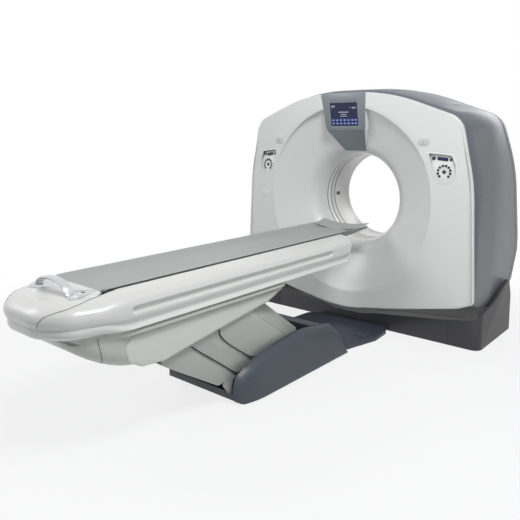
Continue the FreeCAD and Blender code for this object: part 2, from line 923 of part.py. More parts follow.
piece(turned("bore_ring_front", bore_ring("ring_front_y", "window_front_y")))
piece(turned("scan_window", bore_ring("window_front_y", "window_back_y")))
liner_ring = turned("liner_ring", [
    ("bore_radius", "window_back_y+ring_groove"),
    ("bore_radius+ring_groove", "window_back_y"),
    ("bore_radius+cover_wall", "window_back_y"),
    ("bore_radius+cover_wall", "liner_back_y-cover_wall"),
    ("liner_flange_radius", "liner_back_y-cover_wall"),
    ("liner_flange_radius", "liner_back_y"),
    ("bore_radius", "liner_back_y"),
])
laser_rooms = []
for side, sign in (("left", "-"), ("right", "")):
    laser_rooms.append(block(
        side + "_laser_room",
        ("%sbore_radius-15" % sign, "%sbore_radius+15" % sign),
        ("laser_y-laser_length/2", "laser_y+laser_length/2"),
        ("laser_height-laser_tall/2", "laser_height+laser_tall/2"),
    ))
laser_zone = fuse("laser_zone", *laser_rooms)
piece(cut("bore_liner", liner_ring, laser_zone))
piece(common("laser_windows", turned("laser_ring", [
    ("bore_radius+1", "laser_y-laser_length"),
    ("bore_radius+cover_wall-1", "laser_y-laser_length"),
    ("bore_radius+cover_wall-1", "laser_y+laser_length"),
    ("bore_radius+1", "laser_y+laser_length"),
]), laser_zone))

# ---------------------------------------------------------------- grey covers behind


def shell_loft(name, inset):
    """Solid inside the grey covers: band beside the front cover, swelling to the flank."""
    front = gantry_outline(inset)
    band = gantry_outline(
        inset, "band_rise", "band_widening", "waist_x+22", "waist_height+10", "belly_height"
    )
    flank = gantry_outline(
        inset, "flank_rise", "flank_widening", "flank_waist_x", "flank_waist_height", "belly_height"
    )
    front_y = number("cover_back_y+seam_gap") if inset == "0" else number("cover_back_y")
    sections = [
        rounded_wire(front, front_y),
        rounded_wire(band, number("band_back_y")),
        rounded_wire(flank, number("flank_y")),
        rounded_wire(flank, number("shell_back_y+20")),
    ]
    return feature(name, Part.makeLoft(sections, True, True))


shell_mould = shell_loft("shell_mould", "0")
shell_core = shell_loft("shell_core", "cover_wall")
shell_side = prism("shell_side", "YZ_Plane", [
    ("cover_back_y-10", "shell_sky"),
    ("cover_back_y-10", "shell_front_bottom"),
    ("cover_back_y/2", "shell_middle_bottom+14", "600"),
    ("shell_rear_y-190", "shell_middle_bottom+20", "500"),
    ("shell_rear_y", "shell_rear_bottom"),
    ("shell_back_y", "tail_height", "70"),
    ("tail_top_y", "tail_top_height", "160"),
    ("back_slope_y", "back_slope_height"),
    ("rear_crest_y", "shell_sky"),
], "-1100", "1100")
shell_side_core = prism("shell_side_core", "YZ_Plane", [
    ("cover_back_y-20", "shell_sky+1"),
    ("cover_back_y-20", "100"),
    ("shell_rear_y-cover_wall", "100"),
    ("shell_rear_y-cover_wall", "shell_rear_bottom"),
    ("shell_back_y-cover_wall", "tail_height", "70"),
    ("tail_top_y-cover_wall", "tail_top_height", "160"),
    ("back_slope_y-cover_wall", "back_slope_height"),
    ("rear_crest_y-cover_wall", "shell_sky+1"),
], "-1101", "1101")
shell_whole = cut(
    "shell_whole",
    common("shell_outside", shell_mould, shell_side),
    common("shell_inside", shell_core, shell_side_core),
)


def rear_zone(name, step):
    """Everything behind the parting line of the rear cover, moved forward by step."""
    depth = "(rear_cover_depth+%s)" % step
    return prism(name, "YZ_Plane", [
        ("shell_rear_y-%s" % depth, "100"),
        ("shell_rear_y-%s" % depth, "shell_rear_bottom+20"),
        ("shell_back_y-%s" % depth, "tail_height"),
        ("tail_top_y-%s" % depth, "tail_top_height"),
        ("back_slope_y-%s" % depth, "back_slope_height"),
        ("rear_crest_y-%s" % depth, "shell_sky+10"),
        ("shell_back_y+200", "shell_sky+10"),
        ("shell_back_y+200", "100"),
    ], "-1200", "1200")


flare_mouth_y = "shell_back_y+40"
flare_room = turned("flare_room", [
    ("0", "liner_back_y"),
    ("bore_radius+cover_wall/2", "liner_back_y"),
    ("flare_radius+cover_wall/2", flare_mouth_y),
    ("0", flare_mouth_y),
])
flare_wall = turned("flare_blank", [
    ("bore_radius", "liner_back_y"),
    ("bore_radius+cover_wall", "liner_back_y"),
    ("flare_radius+cover_wall", flare_mouth_y),
    ("flare_radius", flare_mouth_y),
])
rear_shell = common("rear_shell", shell_whole, rear_zone("rear_zone", "0"))
piece(fuse(
    "rear_cover",
    cut("rear_shell_open", rear_shell, flare_room),
    common("flare", flare_wall, shell_side),
))
forward_shell = cut("forward_shell", shell_whole, rear_zone("rear_zone_gap", "seam_gap"))
piece(common("top_cover", forward_shell, block(
    "top_zone", ("-top_cover_half_width", "top_cover_half_width"), ("-600", "600"),
    ("top_cover_bottom", "shell_sky+20"),
)))
right_shell = common("right_side_cover", forward_shell, block(
    "right_zone", ("top_cover_half_width+seam_gap", "1200"), ("-600", "600"), ("0", "shell_sky+20")
))
piece(right_shell)
piece(mirrored("left_side_cover", right_shell))

# ---------------------------------------------------------------- tilting frame

plate_outline = both_sides([
    ("plate_half_width-plate_chamfer", "iso_height+plate_half_height"),
    ("plate_half_width", "iso_height+plate_half_height-plate_chamfer"),
    ("plate_half_width", "iso_height-plate_half_height+plate_chamfer"),
    ("plate_half_width-plate_chamfer", "iso_height-plate_half_height"),
])
plate_blank = prism("plate_blank", "XZ_Plane", plate_outline, "plate_front_y", "plate_back_y")
plate_bore = rod(
    "plate_bore_tool", "y", "plate_bore", "plate_front_y-5", "plate_back_y+5", ("0", "iso_height")
)
frame_members = [cut("plate", plate_blank, plate_bore)]
for side, sign in (("left", "-"), ("right", "")):
    inner, outer = "%sbracket_inner_x" % sign, "%sbracket_outer_x" % sign
    frame_members.append(block(
        side + "_bracket", (outer, inner) if sign else (inner, outer),
        ("bracket_front_y", "plate_back_y"),
        ("iso_height-bracket_half_height", "iso_height+bracket_half_height"),
    ))
    start, end = "%s(bracket_outer_x-25)" % sign, "%spin_end_x" % sign
    frame_members.append(rod(
        side + "_trunnion", "x", "pin_radius", end if sign else start, start if sign else end,
        ("0", "iso_height"),
    ))
    for level, rise in (("lower", "-post_rise"), ("upper", "+post_rise")):
        frame_members.append(rod(
            "%s_%s_post" % (level, side), "y", "post_radius", "post_front_y", "plate_front_y+10",
            ("%spost_x" % sign, "iso_height%s" % rise),
        ))
piece(fuse("tilt_frame", *frame_members))

# ---------------------------------------------------------------- floor frame of the gantry

floor_members = []
for end, low, high in (("front", "-beam_outer_y", "-beam_inner_y"), ("rear", "beam_inner_y", "beam_outer_y")):
    floor_members.append(block(
        end + "_beam", ("-beam_half_length", "beam_half_length"), (low, high), ("0", "beam_height")
    ))
right_foot = block(
    "right_foot", ("foot_inner_x", "foot_outer_x"), ("-beam_outer_y", "beam_outer_y"), ("0", "beam_height")
)
right_upright = prism("right_upright", "YZ_Plane", [
    ("upright_foot_y", "beam_height-5"),
    ("upright_foot_y", "upright_knee_height"),
    ("upright_shoulder_y", "upright_shoulder_height"),
    ("upright_shoulder_y", "iso_height+upright_top", "60"),
    ("upright_back_y-20", "iso_height+upright_top", "60"),
    ("upright_back_y", "upright_shoulder_height"),
    ("upright_back_y", "beam_height-5"),
], "upright_inner_x", "upright_outer_x")
right_bore = rod(
    "right_bore", "x", "bearing_radius", "upright_inner_x-5", "upright_outer_x+5", ("0", "iso_height")
)
right_stand = cut("right_stand", fuse("right_stand_blank", right_foot, right_upright), right_bore)
floor_members += [right_stand, mirrored("left_stand", right_stand)]
anchors = []
for x in ("-anchor_x", "anchor_x"):
    for y in ("-anchor_y", "anchor_y"):
        anchors.append(rod("anchor_%d" % (len(anchors) + 1), "z", "anchor_radius", "-5", "beam_height+5", (x, y)))
piece(cut("base_frame", fuse("floor_weldment", *floor_members), fuse("anchor_holes", *anchors)))
right_bearing = cut(
    "right_bearing",
    rod("bearing_blank", "x", "bearing_radius", "upright_inner_x", "upright_outer_x", ("0", "iso_height")),
    rod(
        "bearing_bore", "x", "pin_radius+running_gap", "upright_inner_x-5", "upright_outer_x+5",
        ("0", "iso_height"),
    ),
)
piece(fuse("tilt_bearings", right_bearing, mirrored("left_bearing", right_bearing)))

# ---------------------------------------------------------------- dark covers of the floor frame


def base_plan(inset):
    return [
        ("-base_half_width+%s" % inset, "base_front_y+%s" % inset, "base_round-%s" % inset),
        ("base_half_width-%s" % inset, "base_front_y+%s" % inset, "base_round-%s" % inset),
        ("base_half_width-%s" % inset, "base_back_y-%s" % inset, "base_round-%s" % inset),
        ("-base_half_width+%s" % inset, "base_back_y-%s" % inset, "base_round-%s" % inset),
    ]


def base_side(drop, bottom):
    return [
        ("base_front_y-1", bottom),
        ("base_front_y-1", "base_front_top-%s" % drop),
        ("-100", "base_crest_height-%s" % drop, "600"),
        ("base_rear_top_y", "base_rear_top-%s" % drop, "30"),
        ("base_back_y+1", "150-%s" % drop),
        ("base_back_y+1", bottom),
    ]


def swing_room(name, grow):
    """Room for the tilting covers: turned about the tilt axis, wider at the middle."""
    half = [
        ("room_edge_x+%s" % grow, "swing_room_edge+%s" % grow),
        ("room_side_x", "swing_room_side+%s" % grow),
        ("room_outer_x", "swing_room_outer+%s" % grow),
        ("room_inner_x", "swing_room_inner+%s" % grow),
        ("room_middle_x", "swing_room_middle+%s" % grow),
    ]
    left = [("-(%s)" % x, r) for x, r in reversed(half)]
    ends = [("-(room_edge_x+%s)" % grow, "0"), ("room_edge_x+%s" % grow, "0")]
    return turned(name, half + left + ends, "H_Axis")


base_outside = common(
    "base_outside",
    prism("base_plan_blank", "XY_Plane", base_plan("0"), "base_floor_gap", "base_rear_top+20"),
    prism("base_side_blank", "YZ_Plane", base_side("0", "base_floor_gap"), "-1100", "1100"),
)
base_inside = common(
    "base_inside",
    prism("base_plan_room", "XY_Plane", base_plan("base_wall"), "-5", "base_rear_top+20"),
    prism("base_side_room", "YZ_Plane", base_side("base_wall", "-5"), "-1101", "1101"),
)
base_swing = swing_room("base_swing", "0")
base_swing_wall = swing_room("base_swing_wall", "base_wall")
base_skin = cut(
    "base_skin",
    cut("base_body", base_outside, base_swing),
    cut("base_hollow", base_inside, base_swing_wall),
)
slots = []
for side, low, high in (
    ("left", "-upright_outer_x-upright_slot_gap", "-upright_inner_x+upright_slot_gap"),
    ("right", "upright_inner_x-upright_slot_gap", "upright_outer_x+upright_slot_gap"),
):
    slots.append(block(
        side + "_upright_slot", (low, high),
        ("upright_foot_y-upright_slot_gap", "upright_back_y+upright_slot_gap"), ("50", "600"),
    ))
base_open = cut("base_open", base_skin, fuse("upright_slots", *slots))
base_zones = {
    "base_left_cover": (("-1200", "base_left_seam_x-seam_gap"), ("-600", "600")),
    "base_right_cover": (("base_right_seam_x+seam_gap", "1200"), ("-600", "600")),
    "base_front_cover": (("base_left_seam_x", "base_right_seam_x"), ("-600", "0")),
    "base_rear_cover": (("base_left_seam_x", "base_right_seam_x"), ("seam_gap", "600")),
}
for name, (x, y) in base_zones.items():
    piece(common(name, base_open, block(name + "_zone", x, y, ("-10", "600"))))

# ---------------------------------------------------------------- rotor

drum_blank = turned("drum_blank", [
    ("drum_bore", "drum_front_y"),
    ("drum_radius", "drum_front_y"),
    ("drum_radius", "drum_back_y"),
    ("drum_bore", "drum_back_y"),
])
drum_windows = []
for k in range(12):
    angle = math.radians(15 + 30 * k)
    drum_windows.append(rod(
        "drum_window_%d" % (k + 1), "y", "drum_window_radius", "drum_front_y-5", "drum_back_y+5",
        ("drum_window_circle*%.6f" % math.sin(angle), "iso_height+drum_window_circle*%.6f" % math.cos(angle)),
    ))
piece(cut("rotor_drum", drum_blank, fuse("drum_window_tools", *drum_windows)))
piece(turned("main_bearing_inner", [
    ("bearing_ring_bore", "drum_back_y"),
    ("bearing_ring_radius", "drum_back_y"),
    ("bearing_ring_radius", "bearing_ring_back_y"),
    ("bearing_ring_bore", "bearing_ring_back_y"),
]))
piece(turned("main_bearing_outer", [
    ("bearing_ring_radius+bearing_ring_gap", "outer_ring_front_y"),
    ("outer_ring_radius", "outer_ring_front_y"),
    ("outer_ring_radius", "plate_front_y"),
    ("bearing_ring_radius+bearing_ring_gap", "plate_front_y"),
]))
slip_corners = [("slip_ring_bore", "drum_front_y"), ("slip_ring_bore", "slip_ring_front_y")]
for k in range(4):
    start = "slip_ring_front_y+%d" % (4 + 11 * k)
    slip_corners += [
        ("slip_ring_radius", "slip_ring_front_y" if k == 0 else start),
        ("slip_ring_radius", start + "+6"),
        ("slip_ring_radius-4", start + "+6"),
        ("slip_ring_radius-4", start + "+11"),
    ]
slip_corners += [("slip_ring_radius", "drum_front_y-2"), ("slip_ring_radius", "drum_front_y")]
piece(turned("slip_ring", slip_corners))
tube_height = "iso_height+tube_rise"
piece(fuse(
    "xray_tube",
    rod("tube_housing", "y", "tube_radius", "tube_front_y", "drum_front_y", ("0", tube_height)),
    rod(
        "tube_cap", "y", "tube_cap_radius", "tube_front_y-tube_cap_length", "tube_front_y+5",
        ("0", tube_height),
    ),
))
collimator_blank = block(
    "collimator_blank", ("-collimator_half_width", "collimator_half_width"),
    ("collimator_front_y", "drum_front_y"),
    ("iso_height+collimator_bottom", "iso_height+collimator_top"),
)
collimator_slit = block(
    "collimator_slit", ("-collimator_half_width+20", "collimator_half_width-20"), ("-25", "25"),
    ("iso_height+collimator_bottom-5", "iso_height+collimator_top+5"),
)
piece(cut("collimator", collimator_blank, collimator_slit))
focus_height = "iso_height+focus_rise"
detector_ring = cut(
    "detector_ring",
    rod("detector_back", "y", "detector_outer", "detector_front_y", "drum_front_y", ("0", focus_height)),
    rod("detector_face", "y", "detector_inner", "detector_front_y-5", "drum_front_y+5", ("0", focus_height)),
)
fan = prism("fan", "XZ_Plane", [
    ("0", focus_height),
    ("1200*tan(detector_half_angle)", focus_height + "-1200"),
    ("-1200*tan(detector_half_angle)", focus_height + "-1200"),
], "detector_front_y-10", "drum_front_y+10")
piece(common("detector_array", detector_ring, fan))
generator_blank = block(
    "generator_blank", ("-generator_outer_x", "-generator_inner_x"), ("generator_front_y", "drum_front_y"),
    ("iso_height-generator_half_height", "iso_height+generator_half_height"),
)
piece(generator_blank)
generator_blank.Label = "hv_generator"
counterweight = block(
    "counterweight", ("generator_inner_x", "generator_outer_x"), ("generator_front_y+30", "drum_front_y"),
    ("iso_height-generator_half_height", "iso_height+generator_half_height"),
)
piece(counterweight)

# ---------------------------------------------------------------- floor plate and table base

footplate_corners = [
    ("350", "base_cover_end_y+seam_gap"),
    ("335", "-930", "30"),
    ("406", "-631", "50"),
    ("390", "-451", "50"),
    ("350", "base_front_y-seam_gap"),
    ("-230", "base_front_y-seam_gap"),
    ("-330", "-470", "60"),
    ("-345", "-700"),
    ("-345", "base_cover_end_y+seam_gap"),
]
piece(prism("table_footplate", "XY_Plane", footplate_corners, "0", "footplate_height"))
hatches = []
for name, corners in (
    ("right_hatch", [("254", "-708", "4"), ("277", "-572", "4"), ("377", "-582", "4"), ("358", "-718", "4")]),
    ("left_hatch", [("-111", "-470", "4"), ("-96", "-390", "4"), ("11", "-420", "4"), ("-11", "-501", "4")]),
):
    hatches.append(prism(name, "XY_Plane", corners, "footplate_height", "footplate_height+hatch_thickness"))
piece(fuse("footplate_hatches", *hatches))


def arch_side(inset):
    """Side view of the table base cover: a long arch over the floor."""
    return [
        ("base_cover_end_y-%s" % inset, "base_floor_gap-%s" % inset),
        ("-1011-%s" % inset, "133-%s*0.6" % inset, "160"),
        ("-1127-%s*0.5" % inset, "228-%s" % inset, "120"),
        ("-1450", "base_cover_top-%s" % inset, "500"),
        ("-1760", "252-%s" % inset),
        ("-1975+%s*0.3" % inset, "204-%s" % inset, "200"),
        ("-2090+%s*0.7" % inset, "153-%s*0.8" % inset, "60"),
        ("-2050+%s" % inset, "base_floor_gap-%s" % inset),
    ]


def arch_section(inset):
    """Cross section of the table base cover: sides leaning in, rounded rims."""
    return both_sides([
        ("base_cover_top_x-%s" % inset, "base_cover_top+1-%s" % inset, "base_cover_round-%s" % inset),
        ("base_cover_floor_x-%s" % inset, "base_floor_gap-%s" % inset),
    ])


def arch_plan(inset):
    """Floor outline: full length on the operator's side, cut short on the other."""
    return [
        ("base_cover_floor_x+10", "base_cover_end_y+10"),
        ("base_cover_floor_x+10", "-2040+%s" % inset),
        ("341", "-2120+%s" % inset, "20"),
        ("-240", "-2120+%s" % inset),
        ("-262+%s" % inset, "-1990+%s" % inset, "30"),
        ("-370+%s" % inset, "-1860+%s" % inset, "60"),
        ("-base_cover_floor_x-10", "-1700"),
        ("-base_cover_floor_x-10", "base_cover_end_y+10"),
    ]


arch_outside = common(
    "arch_outside",
    prism("arch_section_blank", "XZ_Plane", arch_section("0"), "-2200", "-900"),
    prism("arch_side_blank", "YZ_Plane", arch_side("0"), "-400", "400"),
    prism("arch_plan_blank", "XY_Plane", arch_plan("0"), "0", "400"),
)
arch_inside = common(
    "arch_inside",
    prism("arch_section_room", "XZ_Plane", arch_section("base_cover_wall"), "-2200", "-900"),
    prism("arch_side_room", "YZ_Plane", arch_side("base_cover_wall"), "-400", "400"),
    prism("arch_plan_room", "XY_Plane", arch_plan("base_cover_wall"), "-20", "400"),
)
leg_opening = block(
    "leg_opening", ("-leg_opening_x", "leg_opening_x"), ("-2300", "leg_opening_head_y"), ("-30", "500")
)
leg_opening_wall = block(
    "leg_opening_wall", ("-leg_opening_x-base_cover_wall", "leg_opening_x+base_cover_wall"),
    ("-2300", "leg_opening_head_y+base_cover_wall"), ("-30", "500"),
)
foot_wall = block(
    "foot_wall", ("-leg_opening_x-3", "leg_opening_x+3"),
    ("foot_wall_y", "foot_wall_y+base_cover_wall"), ("base_floor_gap", "foot_wall_height"),
)
plate_notch = block(
    "plate_notch", ("-base_plate_half_width-seam_gap", "base_plate_half_width+seam_gap"),
    ("leg_opening_head_y-5", "base_plate_head_y+2"), ("-5", "base_plate_thickness+seam_gap"),
)
piece(fuse(
    "table_base_cover",
    cut(
        "arch_skin",
        cut("arch_body", arch_outside, leg_opening),
        cut("arch_hollow", arch_inside, leg_opening_wall),
        plate_notch,
    ),
    foot_wall,
))


def pivot_y(base, ratio="1"):
    return "(%s-%s*arm_length*cos(arm_angle))" % (base, ratio)


pivot_top = "(pivot_height+arm_length*sin(arm_angle))"
base_members = [block(
    "base_plate", ("-base_plate_half_width", "base_plate_half_width"),
    ("base_plate_foot_y", "base_plate_head_y"), ("0", "base_plate_thickness"),
)]
for which in ("upper", "middle", "lower"):
    for side, low, high in (
        ("left", "-hinge_plate_outer_x", "-hinge_plate_inner_x"),
        ("right", "hinge_plate_inner_x", "hinge_plate_outer_x"),
    ):
        half = "hinge_plate_half"
        base_members.append(prism(
            "%s_%s_hinge_plate" % (which, side), "YZ_Plane", [
                ("%s_pivot_y-%s" % (which, half), "base_plate_thickness-2"),
                ("%s_pivot_y-hinge_plate_half+6" % which, "hinge_plate_top+pivot_radius/4", "14"),
                ("%s_pivot_y+hinge_plate_half-6" % which, "hinge_plate_top+pivot_radius/4", "14"),
                ("%s_pivot_y+%s" % (which, half), "base_plate_thickness-2"),
            ] if which == "upper" else [
                ("%s_pivot_y-%s" % (which, half), "base_plate_thickness-2"),
                ("%s_pivot_y-hinge_plate_half+12" % which, "hinge_plate_top", "14"),
                ("%s_pivot_y+hinge_plate_half-12" % which, "hinge_plate_top", "14"),
                ("%s_pivot_y+%s" % (which, half), "base_plate_thickness-2"),
            ], low, high,
        ))
base_members.append(rod(
    "upper_base_pin", "x", "pivot_radius", "-hinge_plate_outer_x", "hinge_plate_outer_x",
    ("upper_pivot_y", "pivot_height"),
))
base_members.append(rod(
    "lower_base_pin", "x", "small_pivot_radius", "-hinge_plate_outer_x", "hinge_plate_outer_x",
    ("lower_pivot_y", "pivot_height"),
))
for side, low, high in (
    ("left", "-middle_leg_x", "-hinge_plate_inner_x"), ("right", "hinge_plate_inner_x", "middle_leg_x"),
):
    base_members.append(rod(
        side + "_middle_base_pin", "x", "small_pivot_radius", low, high, ("middle_pivot_y", "pivot_height")
    ))
piece(fuse("table_base_frame", *base_members))

# ---------------------------------------------------------------- lift arms and leg covers


def on_arm(shape, base_y, lean="arm_angle"):
    """Lay a shape drawn along -Y from its base pivot on the arm's line."""
    shape.Placement = FreeCAD.Placement(Vector(), Rotation(Vector(-1, 0, 0), number(lean)))
    shape.setExpression("Placement.Rotation.Angle", bound(lean))
    return place(shape, y=base_y, z="pivot_height")


def along_arm(name, base_y, corners, low, high):
    """Plate seen from the side: corners give the way up the arm, then the height across it."""
    turned_corners = [("-(%s)" % corner[0],) + tuple(corner[1:]) for corner in corners]
    return on_arm(prism(name, "YZ_Plane", turned_corners, low, high), base_y)


def bar_outline(depth):
    return [
        ("-%s" % depth, "-%s" % depth, "%s*0.98" % depth),
        ("-%s" % depth, "%s" % depth, "%s*0.98" % depth),
        ("arm_length+%s" % depth, "%s" % depth, "%s*0.98" % depth),
        ("arm_length+%s" % depth, "-%s" % depth, "%s*0.98" % depth),
    ]


def pivot_holes(name, base_y, base_radius, top_radius, reach):
    low, high = "-(%s)-5" % reach, "%s+5" % reach
    return fuse(
        name,
        rod(name + "_base", "x", base_radius, low, high, (base_y, "pivot_height")),
        rod(name + "_top", "x", top_radius, low, high, (pivot_y(base_y), pivot_top)),
    )


upper_bars = []
for side, low, high in (
    ("left", "-upper_bar_outer_x", "-upper_bar_inner_x"), ("right", "upper_bar_inner_x", "upper_bar_outer_x"),
):
    upper_bars.append(along_arm(
        side + "_upper_bar", "upper_pivot_y", bar_outline("upper_bar_half_depth"), low, high
    ))
for step, spot in (("low", "arm_length*0.25"), ("high", "arm_length*0.75")):
    upper_bars.append(along_arm(step + "_cross_tube", "upper_pivot_y", [
        (spot + "-30", "-30", "10"),
        (spot + "-30", "30", "10"),
        (spot + "+30", "30", "10"),
        (spot + "+30", "-30", "10"),
    ], "-upper_bar_inner_x-10", "upper_bar_inner_x+10"))
piece(cut("lift_arm_upper", fuse("upper_arm_blank", *upper_bars), pivot_holes(
    "upper_arm_holes", "upper_pivot_y", "pivot_radius+running_gap", "pivot_radius+running_gap",
    "upper_bar_outer_x",
)))
lower_bar = along_arm(
    "lower_bar", "lower_pivot_y", bar_outline("lower_bar_half_depth"),
    "-lower_bar_half_width", "lower_bar_half_width",
)
piece(cut("lift_arm_lower", lower_bar, pivot_holes(
    "lower_arm_holes", "lower_pivot_y", "small_pivot_radius+running_gap",
    "small_pivot_radius+open_pivot_gap", "lower_bar_half_width",
)))


def channel_section(inset):
    """Cross section of the upper leg cover: side plates, slanted shoulders and a web on top."""
    return both_sides([
        ("leg_web_half_width-%s*0.6" % inset, "leg_web-%s" % inset),
        ("upper_leg_x-%s" % inset, "leg_fold-%s*0.4" % inset),
        ("upper_leg_x-%s" % inset, "-320-%s" % inset),
    ])


def upper_channel(name, inset, reach):
    """The channel section drawn out along the upper arm, opening towards the top."""
    blank = prism(name, "XZ_Plane", channel_section(inset), "-1100-%s" % reach, "100+%s" % reach)
    return on_arm(blank, "upper_pivot_y", "arm_angle+leg_taper")


upper_leg_side = along_arm("upper_leg_side", "upper_pivot_y", [
    ("100", "-90", "30"),
    ("560", "-168", "60"),
    ("786", "-153", "60"),
    ("862", "-127", "40"),
    ("900", "-90", "40"),
    ("960", "-35", "30"),
    ("960", "60", "40"),
    ("900", "112", "60"),
    ("555", "172", "60"),
    ("100", "132", "8"),
], "-300", "300")
upper_leg_shell = cut(
    "upper_leg_shell", upper_channel("upper_leg_blank", "0", "0"),
    upper_channel("upper_leg_room", "leg_wall", "10"),
)
upper_leg_skin = common("upper_leg_skin", upper_leg_shell, upper_leg_side)
leg_ribs = []
for side, low, high in (
    ("left", "-upper_bar_outer_x", "-upper_bar_inner_x"), ("right", "upper_bar_inner_x", "upper_bar_outer_x"),
):
    leg_ribs.append(along_arm(side + "_leg_rib", "upper_pivot_y", [
        ("300", "upper_bar_half_depth"),
        ("312", "upper_bar_half_depth"),
        ("312", "leg_web+60"),
        ("300", "leg_web+60"),
    ], low, high))
leg_rib_solids = common(
    "leg_rib_solids", fuse("leg_ribs", *leg_ribs), upper_channel("leg_rib_room", "1", "10")
)
piece(fuse("leg_cover_upper", upper_leg_skin, leg_rib_solids))

middle_side = along_arm("middle_leg_side", "middle_pivot_y", [
    ("-32", "-26", "20"),
    ("100", "-90", "30"),
    ("360", "-118", "60"),
    ("777", "-83", "40"),
    ("835", "-38", "40"),
    ("1080", "-28", "20"),
    ("1128", "-26", "20"),
    ("1128", "22", "20"),
    ("200", "36"),
    ("-32", "26", "20"),
], "-middle_leg_x", "middle_leg_x")
middle_room = block(
    "middle_room", ("-middle_leg_x+leg_wall", "middle_leg_x-leg_wall"), ("-3200", "-1400"), ("-50", "900")
)
middle_web = along_arm("middle_web", "middle_pivot_y", [
    ("250", "-leg_wall/2"),
    ("250", "leg_wall/2"),
    ("700", "leg_wall/2"),
    ("700", "-leg_wall/2"),
], "-middle_leg_x+1", "middle_leg_x-1")
piece(cut("leg_cover_middle", fuse(
    "middle_leg_blank", cut("middle_plates", middle_side, middle_room), middle_web,
), pivot_holes(
    "middle_leg_holes", "middle_pivot_y", "small_pivot_radius+running_gap",
    "small_pivot_radius+open_pivot_gap", "middle_leg_x",
)))

lower_side = along_arm("lower_leg_side", "lower_pivot_y", [
    ("0", "-24", "16"),
    ("60", "-58", "30"),
    ("185", "-60", "20"),
    ("240", "-lower_web_depth", "20"),
    ("620", "-lower_web_depth"),
    ("703", "-lower_web_depth+4"),
    ("760", "-60", "40"),
    ("800", "-30", "40"),
    ("800", "50", "30"),
    ("490", "60", "20"),
    ("470", "32", "20"),
    ("0", "26", "16"),
], "-lower_leg_x", "lower_leg_x")
lower_room = along_arm("lower_leg_room", "lower_pivot_y", [
    ("-50", "-lower_web_depth+leg_wall"),
    ("620", "-lower_web_depth+leg_wall"),
    ("703", "-lower_web_depth+4+leg_wall"),
    ("900", "-lower_web_depth+60"),
    ("900", "200"),
    ("-50", "200"),
], "-lower_leg_x+leg_wall", "lower_leg_x-leg_wall")
lower_ribs = []
for spot in ("350", "600"):
    lower_ribs.append(along_arm("lower_rib_" + spot, "lower_pivot_y", [
        (spot, "-lower_web_depth+1"),
        (spot, "-lower_bar_half_depth"),
        (spot + "+10", "-lower_bar_half_depth"),
        (spot + "+10", "-lower_web_depth+1"),
    ], "-lower_bar_half_width", "lower_bar_half_width"))
piece(fuse("leg_cover_lower", cut("lower_leg_skin", lower_side, lower_room), *lower_ribs))

# ---------------------------------------------------------------- table top

deck_bottom = "deck_top-deck_thickness"
top_members = [block(
    "deck", ("-deck_half_width", "deck_half_width"), ("deck_foot_y", "deck_head_y"),
    (deck_bottom, "deck_top"),
)]
for side, low, high in (("left", "-rail_outer_x", "-rail_inner_x"), ("right", "rail_inner_x", "rail_outer_x")):
    top_members.append(block(
        side + "_rail", (low, high), ("deck_foot_y", "rail_head_y"), ("rail_bottom", deck_bottom + "+1")
    ))
    top_members.append(block(
        side + "_hanger", (low, high), (pivot_y("lower_pivot_y") + "-hanger_half", pivot_y("upper_pivot_y") + "+hanger_half"),
        (pivot_top + "-pivot_radius/2", pivot_top + "+hanger_half"),
    ))
top_members.append(rod(
    "upper_top_pin", "x", "pivot_radius", "-rail_inner_x-5", "rail_inner_x+5",
    (pivot_y("upper_pivot_y"), pivot_top),
))
top_members.append(rod(
    "lower_top_pin", "x", "small_pivot_radius", "-rail_inner_x-5", "rail_inner_x+5",
    (pivot_y("lower_pivot_y"), pivot_top),
))
for side, low, high in (
    ("left", "-rail_inner_x-5", "-middle_leg_x+leg_wall"), ("right", "middle_leg_x-leg_wall", "rail_inner_x+5"),
):
    top_members.append(rod(
        side + "_middle_top_pin", "x", "small_pivot_radius", low, high,
        (pivot_y("middle_pivot_y"), pivot_top),
    ))
piece(fuse("table_frame", *top_members))


def shell_section(inset):
    """Cross section of the white table shell."""
    return both_sides([
        ("trough_half_width-20", "shell_top-%s" % inset),
        ("trough_half_width+4-%s*0.2" % inset, "shell_top-%s" % inset),
        ("285-%s*0.6" % inset, "801-%s" % inset, "60"),
        ("shell_half_width-%s" % inset, "770-%s*0.6" % inset, "36"),
        ("shell_half_width-%s" % inset, "704+%s*0.4" % inset, "40"),
        ("300-%s" % inset, "shell_bottom-1", "1"),
    ])


def shell_profile(inset):
    """Side view of the table shell: the nose at the foot end, the slanted head end."""
    return [
        ("-3171+%s" % inset, "772-%s" % inset, "10"),
        ("-3118+%s" % inset, "793-%s" % inset, "60"),
        ("-2990", "812-%s" % inset),
        ("-2862", "shell_top+2-%s" % inset),
        ("shell_head_y-8", "shell_top+2-%s" % inset),
        ("shell_head_y", "762"),
        ("-891", "704", "20"),
        ("-1107", "648", "30"),
        ("-1130", "shell_bottom", "20"),
        ("-3128+%s*0.5" % inset, "shell_bottom", "40"),
        ("-3166+%s" % inset, "670+%s*0.5" % inset, "30"),
        ("shell_foot_y+%s" % inset, "727"),
    ]


def shell_plan(inset):
    """Plan of the table shell: square at the head, rounded at the nose."""
    return [
        ("shell_half_width+2", "shell_head_y+10"),
        ("shell_half_width+2-%s" % inset, "-2700"),
        ("shell_half_width-6-%s" % inset, "-2860", "500"),
        ("268-%s*0.8" % inset, "-3070+%s*0.6" % inset, "150"),
        ("125-%s*0.5" % inset, "shell_foot_y-2+%s" % inset, "200"),
        ("-125+%s*0.5" % inset, "shell_foot_y-2+%s" % inset, "200"),
        ("-268+%s*0.8" % inset, "-3070+%s*0.6" % inset, "150"),
        ("-shell_half_width+6+%s" % inset, "-2860", "500"),
        ("-shell_half_width-2+%s" % inset, "-2700"),
        ("-shell_half_width-2", "shell_head_y+10"),
    ]


